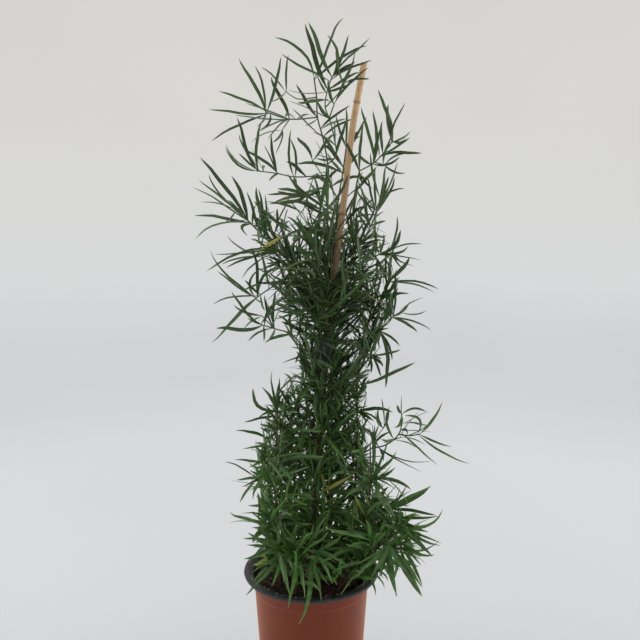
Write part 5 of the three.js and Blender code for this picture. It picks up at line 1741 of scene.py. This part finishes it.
class PLANT_OT_make_foliage(bpy.types.Operator):
    """Grow the leafy stems: twining stems, side shoots, thorns and whorls of cladodes"""

    bl_idname = "plant.make_foliage"
    bl_label = "Leafy Stems"

    def execute(self, context):
        settings = context.scene.plant_foliage
        materials = [shoot_bark(settings), cladode_tissue(settings)]
        blades = [cladode_form(RIBBON_OUTLINE), cladode_form(LANCE_OUTLINE)]
        thorn = thorn_form()
        rods = {steps: rod_form(steps) for steps in ROD_STEPS}
        thickness = settings.thickness / MM
        spacing = settings.twig_spacing / MM
        for plant in PLANTS:
            roll = dice(plant["seed"] * SCENE_SEED)
            growth = Growth()
            lines = shoots_of(plant)
            cladodes = table_cladodes(plant, lines, roll)
            cladodes += stem_whorls(lines[0], roll)
            fine = []
            for places, tips in FINE_GROWTH.get(plant["name"], []):
                start, down = nearest_on(lines, seen(places[0]))
                if len(places) > 1:
                    twig = Line([start, *(seen(place) for place in places[1:])])
                    fine.append(twig)
                    start, down = twig.at(twig.length), -twig.heading(twig.length)
                cladodes += spray(start, down, tips, roll)
            for index, line in enumerate(lines):
                radius = plant["radius"] if index == 0 else plant["radius"] * THIN_SHOOT
                tip = max(THINNEST_TIP, radius * TAPER)
                twigs = twigs_of(plant, line, index, roll, spacing)
                nodes = [line.nearest(twig.points[0])[0] for twig in twigs]

                def radius_at(way, line=line, radius=radius, tip=tip, nodes=nodes):
                    plain = radius + (tip - radius) * way / line.length
                    swell = sum(math.exp(-((way - at) / NODE_REACH) ** 2) for at in nodes)
                    return plain * (1 + NODE_SWELL * min(swell, 1))

                steps = min(rods, key=lambda count: abs(line.length / count - ROD_STEP))
                form = rods[steps]
                age = WOODY["stem" if index == 0 else "side shoot"]
                placed = laid_along(line, form[0], radius_at)
                woody = age * np.interp(placed[:, 2], [300, 600], [1, 0.45])
                tint = np.column_stack([woody, np.zeros(len(placed)), placed[:, 2] * 0])
                growth.add(placed, form[1], STEM_FINISH, tint)
                for twig in twigs:
                    form = rods[ROD_STEPS[0]]
                    placed = laid_along(twig, form[0], tapered(twig, *TWIG_RADII))
                    growth.add(placed, form[1], STEM_FINISH, (WOODY["twig"], 0, 0))
                    for share in TWIG_NODES:
                        way = share * twig.length
                        count = 2 if share < 1 else 3
                        cladodes += whorl(twig.at(way), twig.heading(way), count, roll)
                for at in nodes:
                    if index or line.at(at)[2] > THORNS_END:
                        continue
                    place, down = line.at(at), -line.heading(at)
                    out = unit(np.cross(down, [roll(-1, 1), roll(-1, 1), 0.1]))
                    side = np.cross(out, down)
                    basis = np.column_stack([side, -down, out])
                    size = np.array([THORN_RADIUS, THORN_RADIUS, roll(*THORN_LENGTH)])
                    placed = place + (thorn[0] * size) @ basis.T
                    growth.add(placed, thorn[1], STEM_FINISH, (WOODY["thorn"], 0, 0))
            for twig in fine:
                form = rods[min(rods, key=lambda count: abs(twig.length / count - ROD_STEP))]
                placed = laid_along(twig, form[0], tapered(twig, *FINE_TWIG_RADII))
                growth.add(placed, form[1], STEM_FINISH, (WOODY["fine twig"], 0, 0))
            bent_cladodes(growth, blades, cladodes, thickness, BLADE_FINISH)
            piece = growth.as_piece(plant["name"] + "_leafy", materials)
            soften(piece, 32)
            settle(piece, plant["name"])
        return {"FINISHED"}


def softbox(name, place, aim, size, power):
    """A square studio light at a place, aimed at a point."""
    light = bpy.data.lights.new(name, "AREA")
    light.shape = "RECTANGLE"
    light.size, light.size_y = size
    light.energy = power
    lamp = bpy.data.objects.new(name, light)
    bpy.context.scene.collection.objects.link(lamp)
    lamp.location = place
    lamp.rotation_euler = (Vector(aim) - Vector(place)).to_track_quat("-Z", "Y").to_euler()


class PLANT_OT_make_stage(bpy.types.Operator):
    """Set the round paper sweep, the soft lights and the camera at the photograph's angle"""

    bl_idname = "plant.make_stage"
    bl_label = "Stage"

    def execute(self, context):
        settings = context.scene.plant_stage
        sweep = ring_form("paper_sweep", 96, [(radius, height) for radius, height in SWEEP])
        bpy.ops.object.mode_set(mode="EDIT")
        bpy.ops.mesh.select_all(action="DESELECT")
        bpy.ops.object.mode_set(mode="OBJECT")
        for face in sweep.data.polygons:
            face.select = face.center.z > SWEEP[-1][1] - 0.01
        bpy.ops.object.mode_set(mode="EDIT")
        bpy.ops.mesh.delete(type="ONLY_FACE")
        bpy.ops.mesh.select_all(action="SELECT")
        bpy.ops.mesh.flip_normals()
        bpy.ops.object.mode_set(mode="OBJECT")
        sweep.data.materials.append(sweep_paper(settings))
        soften(sweep, 60)
        softbox("top softbox", (0.1, 0.35, 2.3), (0, 0, 0.4), (1.8, 1.6), settings.top_power)
        softbox("left softbox", (-1.7, -0.1, 0.9), (0, 0, 0.35), (0.9, 1.6), settings.side_power)
        softbox("right softbox", (1.7, 0.0, 0.9), (0, 0, 0.35), (0.9, 1.6), settings.side_power)
        world = bpy.data.worlds.new("studio air")
        world.use_nodes = True
        air = world.node_tree.nodes["Background"]
        air.inputs["Color"].default_value = colour("#f2f4f6")
        air.inputs["Strength"].default_value = 0.5
        context.scene.world = world
        camera = bpy.data.cameras.new("camera")
        camera.sensor_width = 36
        camera.lens = FOCAL_PIXELS / FRAME_PIXELS * 36
        camera.clip_start = 0.01
        eye = bpy.data.objects.new("camera", camera)
        context.scene.collection.objects.link(eye)
        eye.location = EYE * MM
        eye.rotation_euler = (math.radians(90 - CAMERA_PITCH), 0, 0)
        context.scene.camera = eye
        context.scene.view_settings.view_transform = "Standard"
        return {"FINISHED"}


SETTINGS = {
    "plant_pot": PotSettings, "plant_soil": SoilSettings, "plant_cane": CaneSettings,
    "plant_foliage": FoliageSettings, "plant_stage": StageSettings,
}
OPERATORS = [
    PLANT_OT_make_pot, PLANT_OT_make_soil, PLANT_OT_make_litter, PLANT_OT_make_cane, PLANT_OT_make_tie,
    PLANT_OT_make_foliage, PLANT_OT_make_stage,
]


class PLANT_PT_sidebar(bpy.types.Panel):
    """Lists the plant's pieces in the sidebar"""

    bl_idname = "PLANT_PT_sidebar"
    bl_label = "Potted Asparagus"
    bl_space_type = "VIEW_3D"
    bl_region_type = "UI"
    bl_category = "Plant"

    def draw(self, context):
        for name, kind in SETTINGS.items():
            box = self.layout.box()
            for field in kind.__annotations__:
                box.prop(getattr(context.scene, name), field)
        for operator in OPERATORS:
            self.layout.operator(operator.bl_idname)


def register():
    for name, kind in SETTINGS.items():
        bpy.utils.register_class(kind)
        setattr(bpy.types.Scene, name, bpy.props.PointerProperty(type=kind))
    for kind in [*OPERATORS, PLANT_PT_sidebar]:
        bpy.utils.register_class(kind)


def unregister():
    for kind in [PLANT_PT_sidebar, *reversed(OPERATORS)]:
        bpy.utils.unregister_class(kind)
    for name, kind in reversed(SETTINGS.items()):
        delattr(bpy.types.Scene, name)
        bpy.utils.unregister_class(kind)


def main():
    register()
    bpy.ops.plant.make_pot()
    bpy.ops.plant.make_soil()
    bpy.ops.plant.make_litter()
    bpy.ops.plant.make_cane()
    bpy.ops.plant.make_tie()
    bpy.ops.plant.make_foliage()
    bpy.ops.plant.make_stage()


if __name__ == "__main__":
    main()
